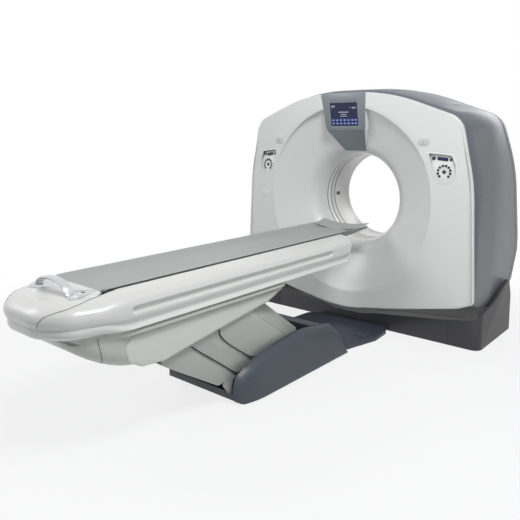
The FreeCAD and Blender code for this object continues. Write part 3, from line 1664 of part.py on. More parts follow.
def table_shell(name, inset):
    return common(
        name,
        prism(name + "_section", "XZ_Plane", shell_section(inset), "shell_foot_y-5", "shell_head_y+5"),
        prism(name + "_side", "YZ_Plane", shell_profile(inset), "-400", "400"),
        prism(name + "_plan", "XY_Plane", shell_plan(inset), "500", "900"),
    )


shell_outside = table_shell("table_outside", "0")
shell_inside = table_shell("table_inside", "shell_wall")
groove_side = [
    ("side_groove_foot_y", "side_groove_bottom", "17"),
    ("side_groove_foot_y", "side_groove_top", "17"),
    ("side_groove_head_y", "side_groove_top", "17"),
    ("side_groove_head_y", "side_groove_bottom", "17"),
]
right_groove = prism(
    "right_groove", "YZ_Plane", groove_side, "shell_half_width-side_groove_depth", "shell_half_width+10"
)
grooves = fuse("side_grooves", right_groove, mirrored("left_groove", right_groove))
right_rib = block(
    "right_rib", ("shell_half_width-side_rib_depth", "shell_half_width"),
    ("side_groove_foot_y-10", "side_groove_head_y+10"), ("side_groove_bottom-8", "side_groove_top+8"),
)
ribs = fuse("side_ribs", right_rib, mirrored("left_rib", right_rib))
trough_wall = block(
    "trough_wall", ("-trough_half_width-shell_wall", "trough_half_width+shell_wall"),
    ("trough_foot_y-shell_wall", "shell_head_y+20"), ("deck_top+sliding_gap", "900"),
)
trough = block(
    "trough", ("-trough_half_width", "trough_half_width"), ("trough_foot_y", "shell_head_y+20"),
    ("deck_top-30", "900"),
)
underside = block(
    "underside", ("-lower_cover_half_width-seam_gap", "lower_cover_half_width+seam_gap"),
    ("-3047", "rail_head_y+30"), ("shell_bottom-20", "shell_bottom+20"),
)
deck_room = block(
    "deck_room", ("-deck_half_width-0.1", "deck_half_width+0.1"),
    ("deck_foot_y-1", "deck_head_y+0.5"), (deck_bottom + "-0.3", "deck_top+sliding_gap"),
)


def lid_plan(grow):
    """Plan of the nose lid, ending at the foot end of the trough."""
    return [
        ("trough_half_width+%s" % grow, "trough_foot_y-shell_wall+%s" % grow),
        ("240+%s" % grow, "-2950", "80"),
        ("196+%s" % grow, "-3078-%s*0.5" % grow, "120"),
        ("0", "-3150-%s" % grow, "300"),
        ("-196-%s" % grow, "-3078-%s*0.5" % grow, "120"),
        ("-240-%s" % grow, "-2950", "80"),
        ("-trough_half_width-%s" % grow, "trough_foot_y-shell_wall+%s" % grow),
    ]


lid_zone = prism("lid_zone", "XY_Plane", lid_plan("0"), "lid_bottom", "900")
lid_hole = prism("lid_hole", "XY_Plane", lid_plan("seam_gap"), "lid_bottom-seam_gap", "900")
lid_rim = prism("lid_rim", "XY_Plane", lid_plan("-lid_wall"), "lid_bottom-1", "900")
nose_skin = cut("nose_skin", shell_outside, shell_inside)
shell_hollow = cut("shell_hollow", shell_inside, ribs, trough_wall)
piece(cut(
    "table_upper_shell", shell_outside, shell_hollow, trough, grooves, underside, deck_room, lid_hole
))
lid_blank = common("lid_blank", shell_outside, lid_zone)
lid_room = common("lid_room", shell_inside, lid_rim)
button_hole = rod(
    "button_hole", "z", "button_radius+key_gap", "lid_bottom-10", "900", ("button_x", "button_y")
)
piece(cut("nose_lid", lid_blank, lid_room, button_hole))

handle_foot = "shell_top-14"
handle_outline = both_sides([
    ("handle_half_width*0.55", handle_foot + "+handle_rise", "60"),
    ("handle_half_width", handle_foot),
])
handle_room_outline = both_sides([
    ("handle_half_width*0.55-handle_thickness*0.6", handle_foot + "+handle_rise-handle_thickness", "50"),
    ("handle_half_width-handle_thickness*1.3", handle_foot + "-1"),
])
handle_arch = cut(
    "handle_arch",
    prism("handle_blank", "XZ_Plane", handle_outline, "handle_y-handle_depth/2", "handle_y+handle_depth/2"),
    prism(
        "handle_room", "XZ_Plane", handle_room_outline,
        "handle_y-handle_depth/2-5", "handle_y+handle_depth/2+5",
    ),
)
piece(cut("release_handle", handle_arch, shell_outside))
piece(rod(
    "release_button", "z", "button_radius", "shell_top-14", "shell_top+2", ("button_x", "button_y")
))


def cover_profile(inset):
    """Side view of the lower cover: deep at the foot end, rising to the head."""
    return [
        ("-3050+%s" % inset, "rail_bottom-seam_gap"),
        ("-3052+%s" % inset, "628-%s*0.2" % inset),
        ("-2769+%s*0.6" % inset, "444+%s" % inset, "90"),
        ("-2569", "412+%s" % inset, "120"),
        ("-2456", "436+%s" % inset),
        ("-1748", "529+%s" % inset, "300"),
        ("-1616-%s*0.4" % inset, "568+%s" % inset, "60"),
        ("-1556-%s" % inset, "rail_bottom-seam_gap"),
    ]


def cover_plan(inset):
    """Plan of the lower cover: narrow, with a rounded foot end."""
    return [
        ("lower_cover_half_width-%s" % inset, "-1500"),
        ("lower_cover_half_width-%s" % inset, "-2930", "300"),
        ("150", "-3065+%s" % inset, "120"),
        ("-150", "-3065+%s" % inset, "120"),
        ("-lower_cover_half_width+%s" % inset, "-2930", "300"),
        ("-lower_cover_half_width+%s" % inset, "-1500"),
    ]


def cover_section(inset):
    """Cross section of the lower cover: rounded along its keel."""
    return both_sides([
        ("lower_cover_half_width-%s" % inset, "rail_bottom+30"),
        (
            "lower_cover_half_width-%s" % inset, "lower_cover_keel+%s" % inset,
            "lower_cover_round-%s" % inset,
        ),
    ])


cover_outside = common(
    "cover_outside",
    prism("cover_section_blank", "XZ_Plane", cover_section("0"), "-3100", "-1500"),
    prism("cover_profile_blank", "YZ_Plane", cover_profile("0"), "-300", "300"),
    prism("cover_plan_blank", "XY_Plane", cover_plan("0"), "380", "rail_bottom-seam_gap"),
)
cover_room_profile = cover_profile("lower_cover_wall")
cover_room_profile[0] = ("-3050+lower_cover_wall", "rail_bottom+30")
cover_room_profile[-1] = ("-1556-lower_cover_wall", "rail_bottom+30")
cover_inside = common(
    "cover_inside",
    prism("cover_section_room", "XZ_Plane", cover_section("lower_cover_wall"), "-3100", "-1500"),
    prism("cover_profile_room", "YZ_Plane", cover_room_profile, "-300", "300"),
    prism("cover_plan_room", "XY_Plane", cover_plan("lower_cover_wall"), "370", "rail_bottom+20"),
)
belly_opening = block(
    "belly_opening", ("-belly_opening_x", "belly_opening_x"), ("belly_opening_foot_y", "-1500"),
    ("370", "rail_bottom+20"),
)
right_cover_pad = prism("right_cover_pad", "YZ_Plane", [
    ("-2758", "578", "14"),
    ("-2784", "540", "24"),
    ("-2774", "482", "24"),
    ("-2716", "446", "30"),
    ("-2566", "428", "60"),
    ("-2466", "444"),
    ("-1752", "541", "200"),
    ("-1640", "586", "8"),
], "lower_cover_half_width-lower_pad_root", "lower_cover_half_width+lower_pad_rise")
piece(fuse(
    "table_lower_cover", cut("lower_cover_shell", cover_outside, cover_inside, belly_opening),
    right_cover_pad, mirrored("left_cover_pad", right_cover_pad),
))

# ---------------------------------------------------------------- cradle

cradle_section = [
    ("-cradle_half_width+cradle_edge_width", "cradle_edge_height"),
    ("-150", "cradle_floor_height", "200"),
    ("150", "cradle_floor_height", "200"),
    ("cradle_half_width-cradle_edge_width", "cradle_edge_height"),
    ("cradle_half_width", "cradle_edge_height"),
    ("cradle_half_width", "cradle_edge_height-7"),
    ("170", "cradle_bottom", "120"),
    ("-170", "cradle_bottom", "120"),
    ("-cradle_half_width", "cradle_edge_height-7"),
    ("-cradle_half_width", "cradle_edge_height"),
]
piece(common(
    "cradle",
    prism("cradle_blank", "XZ_Plane", cradle_section, "cradle_foot_y", "cradle_tip_y"),
    prism("cradle_plan", "XY_Plane", [
        ("cradle_half_width+1", "cradle_foot_y", "30"),
        ("cradle_half_width+1", "cradle_tip_y", "60"),
        ("-cradle_half_width-1", "cradle_tip_y", "60"),
        ("-cradle_half_width-1", "cradle_foot_y", "30"),
    ], "700", "900"),
))
carriage_side = prism("carriage_side", "YZ_Plane", [
    ("carriage_foot_y", "deck_top+sliding_gap"),
    ("carriage_foot_y", "cradle_bottom"),
    ("carriage_tip_y", "cradle_bottom"),
    ("carriage_tip_y", "cradle_bottom-4"),
    ("carriage_taper_y", "deck_top+sliding_gap"),
], "-carriage_half_width", "carriage_half_width")
piece(cut("cradle_carriage", carriage_side, block(
    "carriage_slot",
    ("-carriage_half_width+carriage_rail_width", "carriage_half_width-carriage_rail_width"),
    ("carriage_foot_y-5", "carriage_taper_y-60"),
    ("deck_top-5", "cradle_bottom-8"),
)))

# ---------------------------------------------------------------- checks and export

doc.recompute()
faults = [item.Name for item in doc.Objects if "Invalid" in item.State or "Error" in item.State]
for item in pieces:
    if item.Shape.isNull() or not item.Shape.isValid():
        faults.append(item.Label)
if faults:
    raise RuntimeError("failed: " + ", ".join(faults))
os.makedirs("parts", exist_ok=True)
for item in pieces:
    item.Shape.exportStep("parts/%s.step" % item.Label)
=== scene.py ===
import json
import math

import bmesh
import bpy
from mathutils import Matrix, Vector
from mathutils.bvhtree import BVHTree

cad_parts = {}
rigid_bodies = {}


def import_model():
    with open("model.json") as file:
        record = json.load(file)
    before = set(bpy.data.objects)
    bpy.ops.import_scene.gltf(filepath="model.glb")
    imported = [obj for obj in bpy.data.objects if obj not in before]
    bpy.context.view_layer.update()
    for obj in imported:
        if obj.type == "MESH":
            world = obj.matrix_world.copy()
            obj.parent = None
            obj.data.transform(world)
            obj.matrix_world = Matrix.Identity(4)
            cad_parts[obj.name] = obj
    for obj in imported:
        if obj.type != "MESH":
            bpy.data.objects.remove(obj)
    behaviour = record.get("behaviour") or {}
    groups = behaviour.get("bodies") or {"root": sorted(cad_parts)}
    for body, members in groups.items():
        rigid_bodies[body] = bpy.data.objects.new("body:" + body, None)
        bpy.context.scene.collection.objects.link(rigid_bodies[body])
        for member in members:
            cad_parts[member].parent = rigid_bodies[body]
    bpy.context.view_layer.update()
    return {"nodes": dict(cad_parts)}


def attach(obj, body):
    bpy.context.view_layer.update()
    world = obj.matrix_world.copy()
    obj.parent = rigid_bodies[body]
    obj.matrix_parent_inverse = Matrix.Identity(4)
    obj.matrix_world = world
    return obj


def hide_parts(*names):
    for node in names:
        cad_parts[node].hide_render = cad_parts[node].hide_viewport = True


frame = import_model()
nodes = frame["nodes"]
scene = bpy.context.scene
scene.view_settings.view_transform = "Standard"
mm = 0.001
hands = {"right": 1, "left": -1}         # which way a side lies from the middle
print("packed frame loaded,", len(nodes), "nodes")


def addNode(tree, kind, values=None, wires=None):
    # a node with its settings and sockets filled in, wired to the outputs given
    node = tree.nodes.new(kind)
    for key, value in (values or {}).items():
        if isinstance(key, int) or key in node.inputs:
            node.inputs[key].default_value = value
        else:
            setattr(node, key, value)
    for key, source in (wires or {}).items():
        tree.links.new(source, node.inputs[key])
    return node


def blankMaterial(name):
    material = bpy.data.materials.new(name)
    material.use_nodes = True
    tree = material.node_tree
    tree.nodes.clear()
    shader = addNode(tree, "ShaderNodeBsdfPrincipled")
    addNode(tree, "ShaderNodeOutputMaterial", wires={0: shader.outputs[0]})
    return material, tree, shader


# finishes: a painted or moulded skin with slight colour drift, uneven gloss, fine grain and long soft waves
skinLook = {
    "broadScale": 2.3, "patchScale": 14.0, "grainScale": 900, "drift": 0.03, "shiny": 0.94, "dull": 1.07,
    "grainDepth": 0.001, "waveDepth": 0.02, "coatRough": 0.12, "zoneEdge": 0.0015,
}


def noiseOn(tree, place, scale, detail):
    noise = addNode(tree, "ShaderNodeTexNoise", {"Scale": scale, "Detail": detail}, {"Vector": place})
    return noise.outputs[0]


def mapped(tree, value, low, high, fromLow=0.0, fromHigh=1.0):
    span = {"From Min": fromLow, "From Max": fromHigh, "To Min": low, "To Max": high}
    return addNode(tree, "ShaderNodeMapRange", span, {"Value": value}).outputs[0]


def moulded(name, colour, rough=0.35, grain=0.05, wave=0.03, coat=0.0, metal=0.0, zone=None):
    # zone = (from, to, colour) paints a second colour between two depths
    look = skinLook
    material, tree, shader = blankMaterial(name)
    place = addNode(tree, "ShaderNodeTexCoord").outputs["Object"]
    broad = noiseOn(tree, place, look["broadScale"], 2.0)
    second = zone[2] if zone else colour
    paint = addNode(tree, "ShaderNodeMix", {"data_type": "RGBA", 6: (*colour, 1), 7: (*second, 1), 0: 0.0})
    if zone:
        depth = addNode(tree, "ShaderNodeSeparateXYZ", wires={0: place}).outputs["Y"]
        edge = look["zoneEdge"]
        start = mapped(tree, depth, 0, 1, zone[0] - edge, zone[0] + edge)
        end = mapped(tree, depth, 1, 0, zone[1] - edge, zone[1] + edge)
        inside = addNode(tree, "ShaderNodeMath", {"operation": "MULTIPLY"}, {0: start, 1: end})
        tree.links.new(inside.outputs[0], paint.inputs[0])
    shade = mapped(tree, broad, 1 - look["drift"], 1 + look["drift"])
    tint = addNode(
        tree, "ShaderNodeVectorMath", {"operation": "SCALE"}, {0: paint.outputs[2], "Scale": shade}
    )
    patchy = noiseOn(tree, place, look["patchScale"], 4.0)
    gloss = mapped(tree, patchy, rough * look["shiny"], min(1.0, rough * look["dull"]))
    fine = noiseOn(tree, place, look["grainScale"], 2.0)
    bump = addNode(
        tree, "ShaderNodeBump", {"Strength": grain, "Distance": look["grainDepth"]}, {"Height": fine}
    )
    soft = addNode(
        tree, "ShaderNodeBump", {"Strength": wave, "Distance": look["waveDepth"]},
        {"Height": broad, "Normal": bump.outputs[0]},
    )
    tree.links.new(tint.outputs[0], shader.inputs["Base Color"])
    tree.links.new(gloss, shader.inputs["Roughness"])
    tree.links.new(soft.outputs[0], shader.inputs["Normal"])
    shader.inputs["Metallic"].default_value = metal
    if coat:
        shader.inputs["Coat Weight"].default_value = coat
        shader.inputs["Coat Roughness"].default_value = look["coatRough"]
    return material


darkEdge = (-0.5, -0.374, (0.115, 0.125, 0.15))          # the front strip of the side and top covers
finish = {
    "whiteCover": moulded("white_cover", (0.70, 0.715, 0.70), rough=0.34, coat=0.3),
    "tableWhite": moulded("table_white", (0.71, 0.715, 0.70), rough=0.36, coat=0.15),
    "greyCover": moulded("grey_cover", (0.125, 0.140, 0.155), rough=0.36, zone=darkEdge),
    "topCover": moulded("top_cover", (0.175, 0.192, 0.215), rough=0.38, zone=darkEdge),
    "darkCover": moulded("dark_cover", (0.040, 0.040, 0.044), rough=0.5, grain=0.12),
    "tableBase": moulded("table_base_cover", (0.052, 0.064, 0.082), rough=0.42, grain=0.1),
    "legCover": moulded("leg_cover", (0.44, 0.465, 0.44), rough=0.42),
    "lowerPad": moulded("lower_pad", (0.64, 0.665, 0.62), rough=0.38),
    "lowerCover": moulded("lower_cover", (0.50, 0.53, 0.49), rough=0.4),
    "displayPanel": moulded("display_panel", (0.205, 0.238, 0.258), rough=0.36),
    "screen": moulded("screen", (0.0005, 0.004, 0.05), rough=0.3, grain=0.0, wave=0.0),
    "screenMarks": moulded("screen_marks", (0.62, 0.66, 0.78), rough=0.3, grain=0.0, wave=0.0),
    "screenKeys": moulded("screen_keys", (0.05, 0.09, 0.36), rough=0.5, grain=0.0, wave=0.0),
    "keys": moulded("keys", (0.012, 0.013, 0.022), rough=0.42),
    "lineMark": moulded("line_mark", (0.24, 0.25, 0.25), rough=0.5),
    "lens": moulded("lens", (0.56, 0.59, 0.58), rough=0.2),
    "boreRing": moulded("bore_ring", (0.74, 0.74, 0.72), rough=0.3, coat=0.2),
    "scanWindow": moulded("scan_window", (0.62, 0.63, 0.61), rough=0.3),
    "laser": moulded("laser", (0.01, 0.01, 0.012), rough=0.1, grain=0.0),
    "cradle": moulded("cradle", (0.37, 0.385, 0.375), rough=0.5, grain=0.10),
    "frame": moulded("frame", (0.09, 0.10, 0.11), rough=0.5, grain=0.1),
    "steel": moulded("steel", (0.55, 0.56, 0.57), rough=0.35, metal=1.0),
    "alloy": moulded("alloy", (0.65, 0.66, 0.67), rough=0.4, metal=1.0),
    "handle": moulded("handle", (0.62, 0.64, 0.66), rough=0.24, metal=1.0, grain=0.02),
    # near-black finish of the seams and slits, also used as painted shade in the bore grooves and along the
    # leg covers' lower edges
    "rubber": moulded("rubber", (0.016, 0.016, 0.018), rough=0.6, grain=0.1),
    "footplate": moulded("footplate", (0.045, 0.053, 0.074), rough=0.5, grain=0.2),
}
finishOf = {
    "whiteCover": "front_cover left_keypad right_keypad service_cap",
    "tableWhite": "table_upper_shell nose_lid",
    "greyCover": "left_side_cover right_side_cover rear_cover",
    "topCover": "top_cover",
    "darkCover": "base_front_cover base_left_cover base_right_cover base_rear_cover",
    "tableBase": "table_base_cover",
    "legCover": "leg_cover_upper leg_cover_middle leg_cover_lower",
    "lowerCover": "table_lower_cover",
    "displayPanel": "display_panel",
    "screen": "display_screen key_displays",
    "keys": "release_button right_start_key left_start_key right_stop_key left_stop_key "
            "right_centre_key left_centre_key",
    "lens": "status_lights",
    "boreRing": "bore_ring_front bore_liner",
    "scanWindow": "scan_window",
    "laser": "laser_windows",
    "cradle": "cradle cradle_carriage",
    "frame": "base_frame tilt_frame table_base_frame table_frame lift_arm_upper lift_arm_lower "
             "hv_generator counterweight",
    "steel": "tilt_bearings main_bearing_inner main_bearing_outer collimator",
    "alloy": "rotor_drum xray_tube detector_array slip_ring",
    "handle": "release_handle",
    "footplate": "table_footplate footplate_hatches",
}
for look, names in finishOf.items():
    for name in names.split():
        mesh = nodes[name].data
        mesh.materials.clear()
        mesh.materials.append(finish[look])
print("finishes on every node")


def bodyOf(name):
    return nodes[name].parent.name.removeprefix("body:")


def addPiece(name, mesh, look, body, replacing=(), slot=None, sharp=35):
    if look:
        mesh.materials.clear()
        mesh.materials.append(finish[look])
    mesh.polygons.foreach_set("use_smooth", [True] * len(mesh.polygons))
    mesh.set_sharp_from_angle(angle=math.radians(sharp))
    piece = bpy.data.objects.new(name, mesh)
    scene.collection.objects.link(piece)
    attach(piece, body)
    if replacing:
        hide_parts(*replacing)
    return piece


def meshFrom(name, points, faces):
    mesh = bpy.data.meshes.new(name)
    mesh.from_pydata(points, [], faces)
    mesh.validate()
    return mesh


def inMetres(points):
    return [tuple(part * mm for part in point) for point in points]


def tidyMesh(mesh, near=0.00002):
    # doubles merged, flat ends dissolved away and the faces turned outwards
    work = bmesh.new()
    work.from_mesh(mesh)
    bmesh.ops.remove_doubles(work, verts=work.verts, dist=near)
    bmesh.ops.dissolve_degenerate(work, edges=work.edges, dist=near)
    bmesh.ops.recalc_face_normals(work, faces=work.faces)
    work.to_mesh(mesh)
    work.free()
    return mesh


def buildPiece(name, points, faces, look, body, near=0.00002, **options):
    # a closed piece from points in millimetres
    return addPiece(name, tidyMesh(meshFrom(name, inMetres(points), faces), near), look, body, **options)


def bandFaces(rings, around, closed=True):
    # quads between rings of points that follow one another
    faces = []
    for ring in range(rings - 1):
        for k in range(around if closed else around - 1):
            a, b = ring * around + k, ring * around + (k + 1) % around
            faces.append((a, b, b + around, a + around))
    return faces


def columnFaces(columns, rows, closed=False):
    # quads between columns of points that stand side by side
    faces = []
    for k in range(columns if closed else columns - 1):
        here, there = k * rows, (k + 1) % columns * rows
        faces += [(here + j, there + j, there + j + 1, here + j + 1) for j in range(rows - 1)]
    return faces


def cutAlong(work, place, normal, near=0.00002, **options):
    # every face that the plane crosses is cut in two
    everything = work.faces[:] + work.edges[:] + work.verts[:]
    bmesh.ops.bisect_plane(work, geom=everything, dist=near, plane_co=place, plane_no=normal, **options)


def between(value):
    return min(1, max(0, value))


def eased(value, low, high):
    share = between((value - low) / (high - low))
    return share * share * (3 - 2 * share)


def roundedPath(corners, closed, steps=8, span=40):
    # points along a path whose corners carry a radius
    spots = [Vector(corner[:2]) for corner in corners]
    count = len(spots)
    path = []
    for k, corner in enumerate(corners):
        spot, radius = spots[k], corner[2]
        if radius <= 0 or (not closed and k in (0, count - 1)):
            path.append(spot)
            continue
        back = (spots[k - 1] - spot).normalized()
        ahead = (spots[(k + 1) % count] - spot).normalized()
        half = back.angle(ahead) / 2
        reach = radius / math.tan(half)
        middle = spot + (back + ahead).normalized() * (radius / math.sin(half))
        start, end = spot + back * reach - middle, spot + ahead * reach - middle
        first = math.atan2(start.y, start.x)
        swing = (math.atan2(end.y, end.x) - first + math.pi) % (2 * math.pi) - math.pi
        for step in range(steps + 1):
            angle = first + swing * step / steps
            path.append(middle + Vector((math.cos(angle), math.sin(angle))) * radius)
    filled = []
    for k in range(len(path) if closed else len(path) - 1):
        here, there = path[k], path[(k + 1) % len(path)]
        pieces = max(1, int((there - here).length // span))
        filled += [here.lerp(there, step / pieces) for step in range(pieces)]
    if not closed:
        filled.append(path[-1])
    return filled


# white front cover: one skin from the bore lip through the dish and over the bulged face to its rim
frontCover = {
    "centre": 1015,                      # height of the bore's line
    "outline": [                         # right half from the crown down: across, up, round
        (340, 1843, 1400), (905, 1637, 160), (1000, 1180, 1500), (1036, 342, 40), (930, 300, 100),
        (0, 140, 1000),
    ],
    "face": -495, "back": -400, "bulge": 6000,
    "dish": [                            # from the bore lip outwards: radius, depth, round
        (350, -164, 0), (350, -184, 100), (385, -303, 180), (722, -455, 0),
    ],
    "coneShares": (0.25, 0.5, 0.75, 0.95, 1), "faceShares": (0.2, 0.4, 0.6, 0.8, 0.9, 0.95, 1),
    "skirtShares": (0.07, 0.15, 0.4, 0.7, 1),
    "lipSlope": 15 / 98, "lipSoft": 4, "lipLean": 0.3, "creaseTries": 12, "creaseStep": 0.9,
    "facetOuter": 905, "facetDepth": 39.5, "facetEnd": 86, "facetSoft": 0.07,
    "rimRound": 9, "rimSteps": 4, "ridgeInset": 4, "flange": 14, "flangeDeep": 30,
    "panel": [                           # across, up
        (199, 1860), (177, 1573), (95, 1394), (-95, 1394), (-177, 1573), (-199, 1860),
    ],
    "panelHalf": 200, "panelDrop": 3, "panelGap": 1.2, "panelWall": 25,
    "padGap": 1.6, "padWall": 14,
}
keypad = {
    "across": 796, "up": 1258, "tip": 6.6, "sink": 9,
    "outline": [                         # about the pad's own centre: across, up, round
        (-113, 137, 10), (55, 120, 22), (79, 52, 30), (82, -17, 30), (41, -61, 28), (-24, -72, 30),
        (-66, -31, 60),
        (-96, 88, 60),
    ],
}
holeCut = {"margin": 60, "shortest": 0.5, "ahead": -0.2, "rimAhead": -0.25, "slack": 0.001}


def bothHalves(half):
    return list(half) + [(-x, z, r) for x, z, r in reversed(half) if x]


def faceDepth(x):
    plan = frontCover
    return plan["face"] + plan["bulge"] - math.sqrt(plan["bulge"] ** 2 - x * x)


def facetDrop(radius, turn):
    # how far the facet lies behind the face at this radius and turn from straight down
    plan = frontCover
    end = math.radians(plan["facetEnd"])
    if abs(turn) >= end:
        return 0
    rim = plan["dish"][-1][0]
    share = (plan["facetOuter"] - radius) / (plan["facetOuter"] - rim)
    soft = plan["facetSoft"]
    if share < -soft:
        share = 0
    elif share < soft:
        share = (share + soft) ** 2 / (4 * soft)
    return plan["facetDepth"] * math.cos(turn * math.pi / 2 / end) ** 2 * share


def padOutline(side, grow):
    # the pad's outline as seen from the front, grown all round
    rounded = roundedPath(keypad["outline"], True, steps=5, span=200)
    middle = sum(rounded, Vector((0, 0))) / len(rounded)
    grown = [spot + (spot - middle).normalized() * grow for spot in rounded]
    return [Vector(((keypad["across"] + spot.x) * side, keypad["up"] + spot.y)) for spot in grown]


def cutHole(mesh, outline, wall):
    # opens the skin along an outline drawn across and up, and turns its edge back into the cover
    plan = holeCut
    work = bmesh.new()
    work.from_mesh(mesh)
    middle = sum(outline, Vector((0, 0))) / len(outline)
    reach = max((spot - middle).length for spot in outline) + plan["margin"]
    sides = list(zip(outline, outline[1:] + outline[:1]))
    turn = sum(a.x * b.y - b.x * a.y for a, b in sides)

    def isNear(spot, ahead):
        return spot.y < ahead and (Vector((spot.x, spot.z)) / mm - middle).length < reach

    for a, b in sides:
        if (b - a).length < plan["shortest"]:
            continue
        parts = {face: None for face in work.faces if isNear(face.calc_center_median(), plan["ahead"])}
        for face in list(parts):         # a dictionary keeps its order, a set would not
            parts.update(dict.fromkeys([*face.edges, *face.verts]))
        bmesh.ops.bisect_plane(
            work, geom=list(parts), dist=0.00002, plane_co=(a.x * mm, 0, a.y * mm),
            plane_no=Vector((b.y - a.y, 0, a.x - b.x)).normalized(),
        )
    gone = []
    for face in work.faces:
        spot = face.calc_center_median()
        flat = Vector((spot.x, spot.z)) / mm
        if spot.y < plan["ahead"] and all(
            ((b - a).x * (flat - a).y - (b - a).y * (flat - a).x) * turn > -plan["slack"] for a, b in sides
        ):
            gone.append(face)
    bmesh.ops.delete(work, geom=gone, context="FACES")
    rim = [edge for edge in work.edges if edge.is_boundary and isNear(edge.verts[0].co, plan["rimAhead"])]
    sunk = {}
    for edge in rim:
        for vert in edge.verts:
            if vert not in sunk:
                sunk[vert] = work.verts.new(vert.co)
                sunk[vert].co.y += wall * mm
        start = edge.link_loops[0].vert
        end = edge.other_vert(start)
        work.faces.new((end, start, sunk[start], sunk[end]))
    bmesh.ops.recalc_face_normals(work, faces=work.faces)
    work.to_mesh(mesh)
    work.free()


def coverColumn(spot, dish):
    # radius and depth of the skin from the bore lip out to the flange, through one point of the outline
    plan = frontCover
    cone = dish[-2]
    rimRadius, rimDepth = plan["dish"][-1][:2]
    slope = (rimDepth - cone[1]) / (rimRadius - cone[0])
    x, z = spot[0], spot[1] - plan["centre"]
    if abs(x) < plan["panelHalf"] and z > 0:
        z -= plan["panelDrop"]
    edge = math.hypot(x, z)
    side, up = x / edge, z / edge
    turn = math.atan2(side, -up)

    def depthAt(radius):
        return faceDepth(radius * side) + facetDrop(radius, turn)

    crease, lip = rimRadius, 0
    for tries in range(plan["creaseTries"]):
        gap = depthAt(crease) - (cone[1] + slope * (crease - cone[0]))
        if gap > 0 or tries:
            crease = min(crease + gap / slope * plan["creaseStep"], rimRadius)
    if depthAt(rimRadius) < rimDepth:
        crease, lip = rimRadius, (rimDepth - depthAt(rimRadius)) * plan["lipSlope"]
    column = [(p[0], p[1]) for p in dish[:-1]]
    for share in plan["coneShares"]:
        radius = cone[0] + (crease - cone[0]) * share
        column.append((radius, cone[1] + slope * (radius - cone[0])))
    start = crease + lip
    rim = edge - plan["rimRound"]
    ridge = min(plan["facetOuter"], rim - plan["ridgeInset"])
    soft = min(plan["lipSoft"], max(0, column[-1][1] - depthAt(start)))
    lean = soft * plan["lipLean"]
    column += [(start, depthAt(start) + soft), (start + lean, depthAt(start) + lean)]
    face = start + soft
    radii = [face] + [face + (ridge - face) * share for share in plan["faceShares"]]
    radii += [ridge + (rim - ridge) * share for share in plan["skirtShares"]]
    column += [(radius, depthAt(radius)) for radius in radii]
    for step in range(1, plan["rimSteps"] + 1):
        angle = math.pi / 2 * step / plan["rimSteps"]
        out, back = plan["rimRound"] * math.sin(angle), plan["rimRound"] * (1 - math.cos(angle))
        column.append((rim + out, depthAt(rim) + back))
    inner = edge - plan["flange"]
    column += [(edge, plan["back"]), (inner, plan["back"]), (inner, plan["back"] - plan["flangeDeep"])]
    return [(radius * side, depth, plan["centre"] + radius * up) for radius, depth in column]


def buildFrontCover():
    plan = frontCover
    around = roundedPath(bothHalves(plan["outline"]), True, steps=10)
    dish = roundedPath(plan["dish"], False, steps=8, span=1e9)
    columns = [coverColumn(spot, dish) for spot in around]
    points = inMetres(point for column in columns for point in column)
    faces = columnFaces(len(columns), len(columns[0]), closed=True)
    mesh = tidyMesh(meshFrom("front_skin", points, faces), 0.0001)
    panel = [Vector((x + math.copysign(plan["panelGap"], x), z)) for x, z in plan["panel"]]
    cutHole(mesh, panel, plan["panelWall"])
    for side in hands.values():
        cutHole(mesh, padOutline(side, plan["padGap"]), plan["padWall"])
    return addPiece(
        "front_skin", mesh, "whiteCover", bodyOf("front_cover"), ("front_cover",), "white_cover", 28
    )


frontSkin = buildFrontCover()
print("front cover skinned,", len(frontSkin.data.polygons), "faces")

# merged copies with softened edges for the plain moulded covers
softEdges = {
    "widths": {
        "base_front_cover": 5, "base_left_cover": 5, "base_right_cover": 5, "base_rear_cover": 5,
        "left_side_cover": 2, "right_side_cover": 2, "top_cover": 2, "rear_cover": 3,
        "leg_cover_upper": 2, "leg_cover_middle": 2, "leg_cover_lower": 2,
        "table_footplate": 5, "footplate_hatches": 1.2, "table_base_cover": 4, "cradle": 1.0,
        "display_panel": 2, "left_keypad": 1.5, "right_keypad": 1.5, "service_cap": 1.2,
        "status_lights": 1.0,
        "bore_ring_front": 1.0, "scan_window": 1.0, "bore_liner": 1.0,
    },
    "segments": 2, "sharpFrom": 32, "flat": 0.3, "near": 0.00001,
    "curved": ("rear_cover", "left_side_cover", "right_side_cover"), "curvedFlat": 0.02,
    "baseAcross": 292.6, "sideSteep": 0.8,
}


def softened(name, width):
    # a merged copy of a CAD node with its sharp edges rounded a little, standing for that node
    plan = softEdges
    work = bmesh.new()
    work.from_mesh(nodes[name].data)
    bmesh.ops.remove_doubles(work, verts=work.verts, dist=plan["near"])
    bmesh.ops.dissolve_degenerate(work, edges=work.edges, dist=plan["near"])
    flat = math.radians(plan["curvedFlat"] if name in plan["curved"] else plan["flat"])
    bmesh.ops.dissolve_limit(work, angle_limit=flat, verts=work.verts, edges=work.edges, delimit={"NORMAL"})
    steep = math.radians(plan["sharpFrom"])
    edges = [edge for edge in work.edges if len(edge.link_faces) == 2 and edge.calc_face_angle() > steep]
    bmesh.ops.bevel(
        work, geom=edges, offset=width * mm, offset_type="OFFSET", segments=plan["segments"], profile=0.5,
        affect="EDGES", clamp_overlap=True,
    )
    mesh = bpy.data.meshes.new(name + "_soft")
    work.to_mesh(mesh)
    work.free()
    for material in nodes[name].data.materials:
        mesh.materials.append(material)
    return addPiece(name + "_soft", mesh, None, bodyOf(name), (name,))


def cutAway(mesh, across):
    # drops what lies further out than this on both sides, where a fuller skin stands for it
    work = bmesh.new()
    work.from_mesh(mesh)
    for side in hands.values():
        cutAlong(work, (across * side * mm, 0, 0), (side, 0, 0), softEdges["near"], clear_outer=True)
    work.to_mesh(mesh)
    work.free()


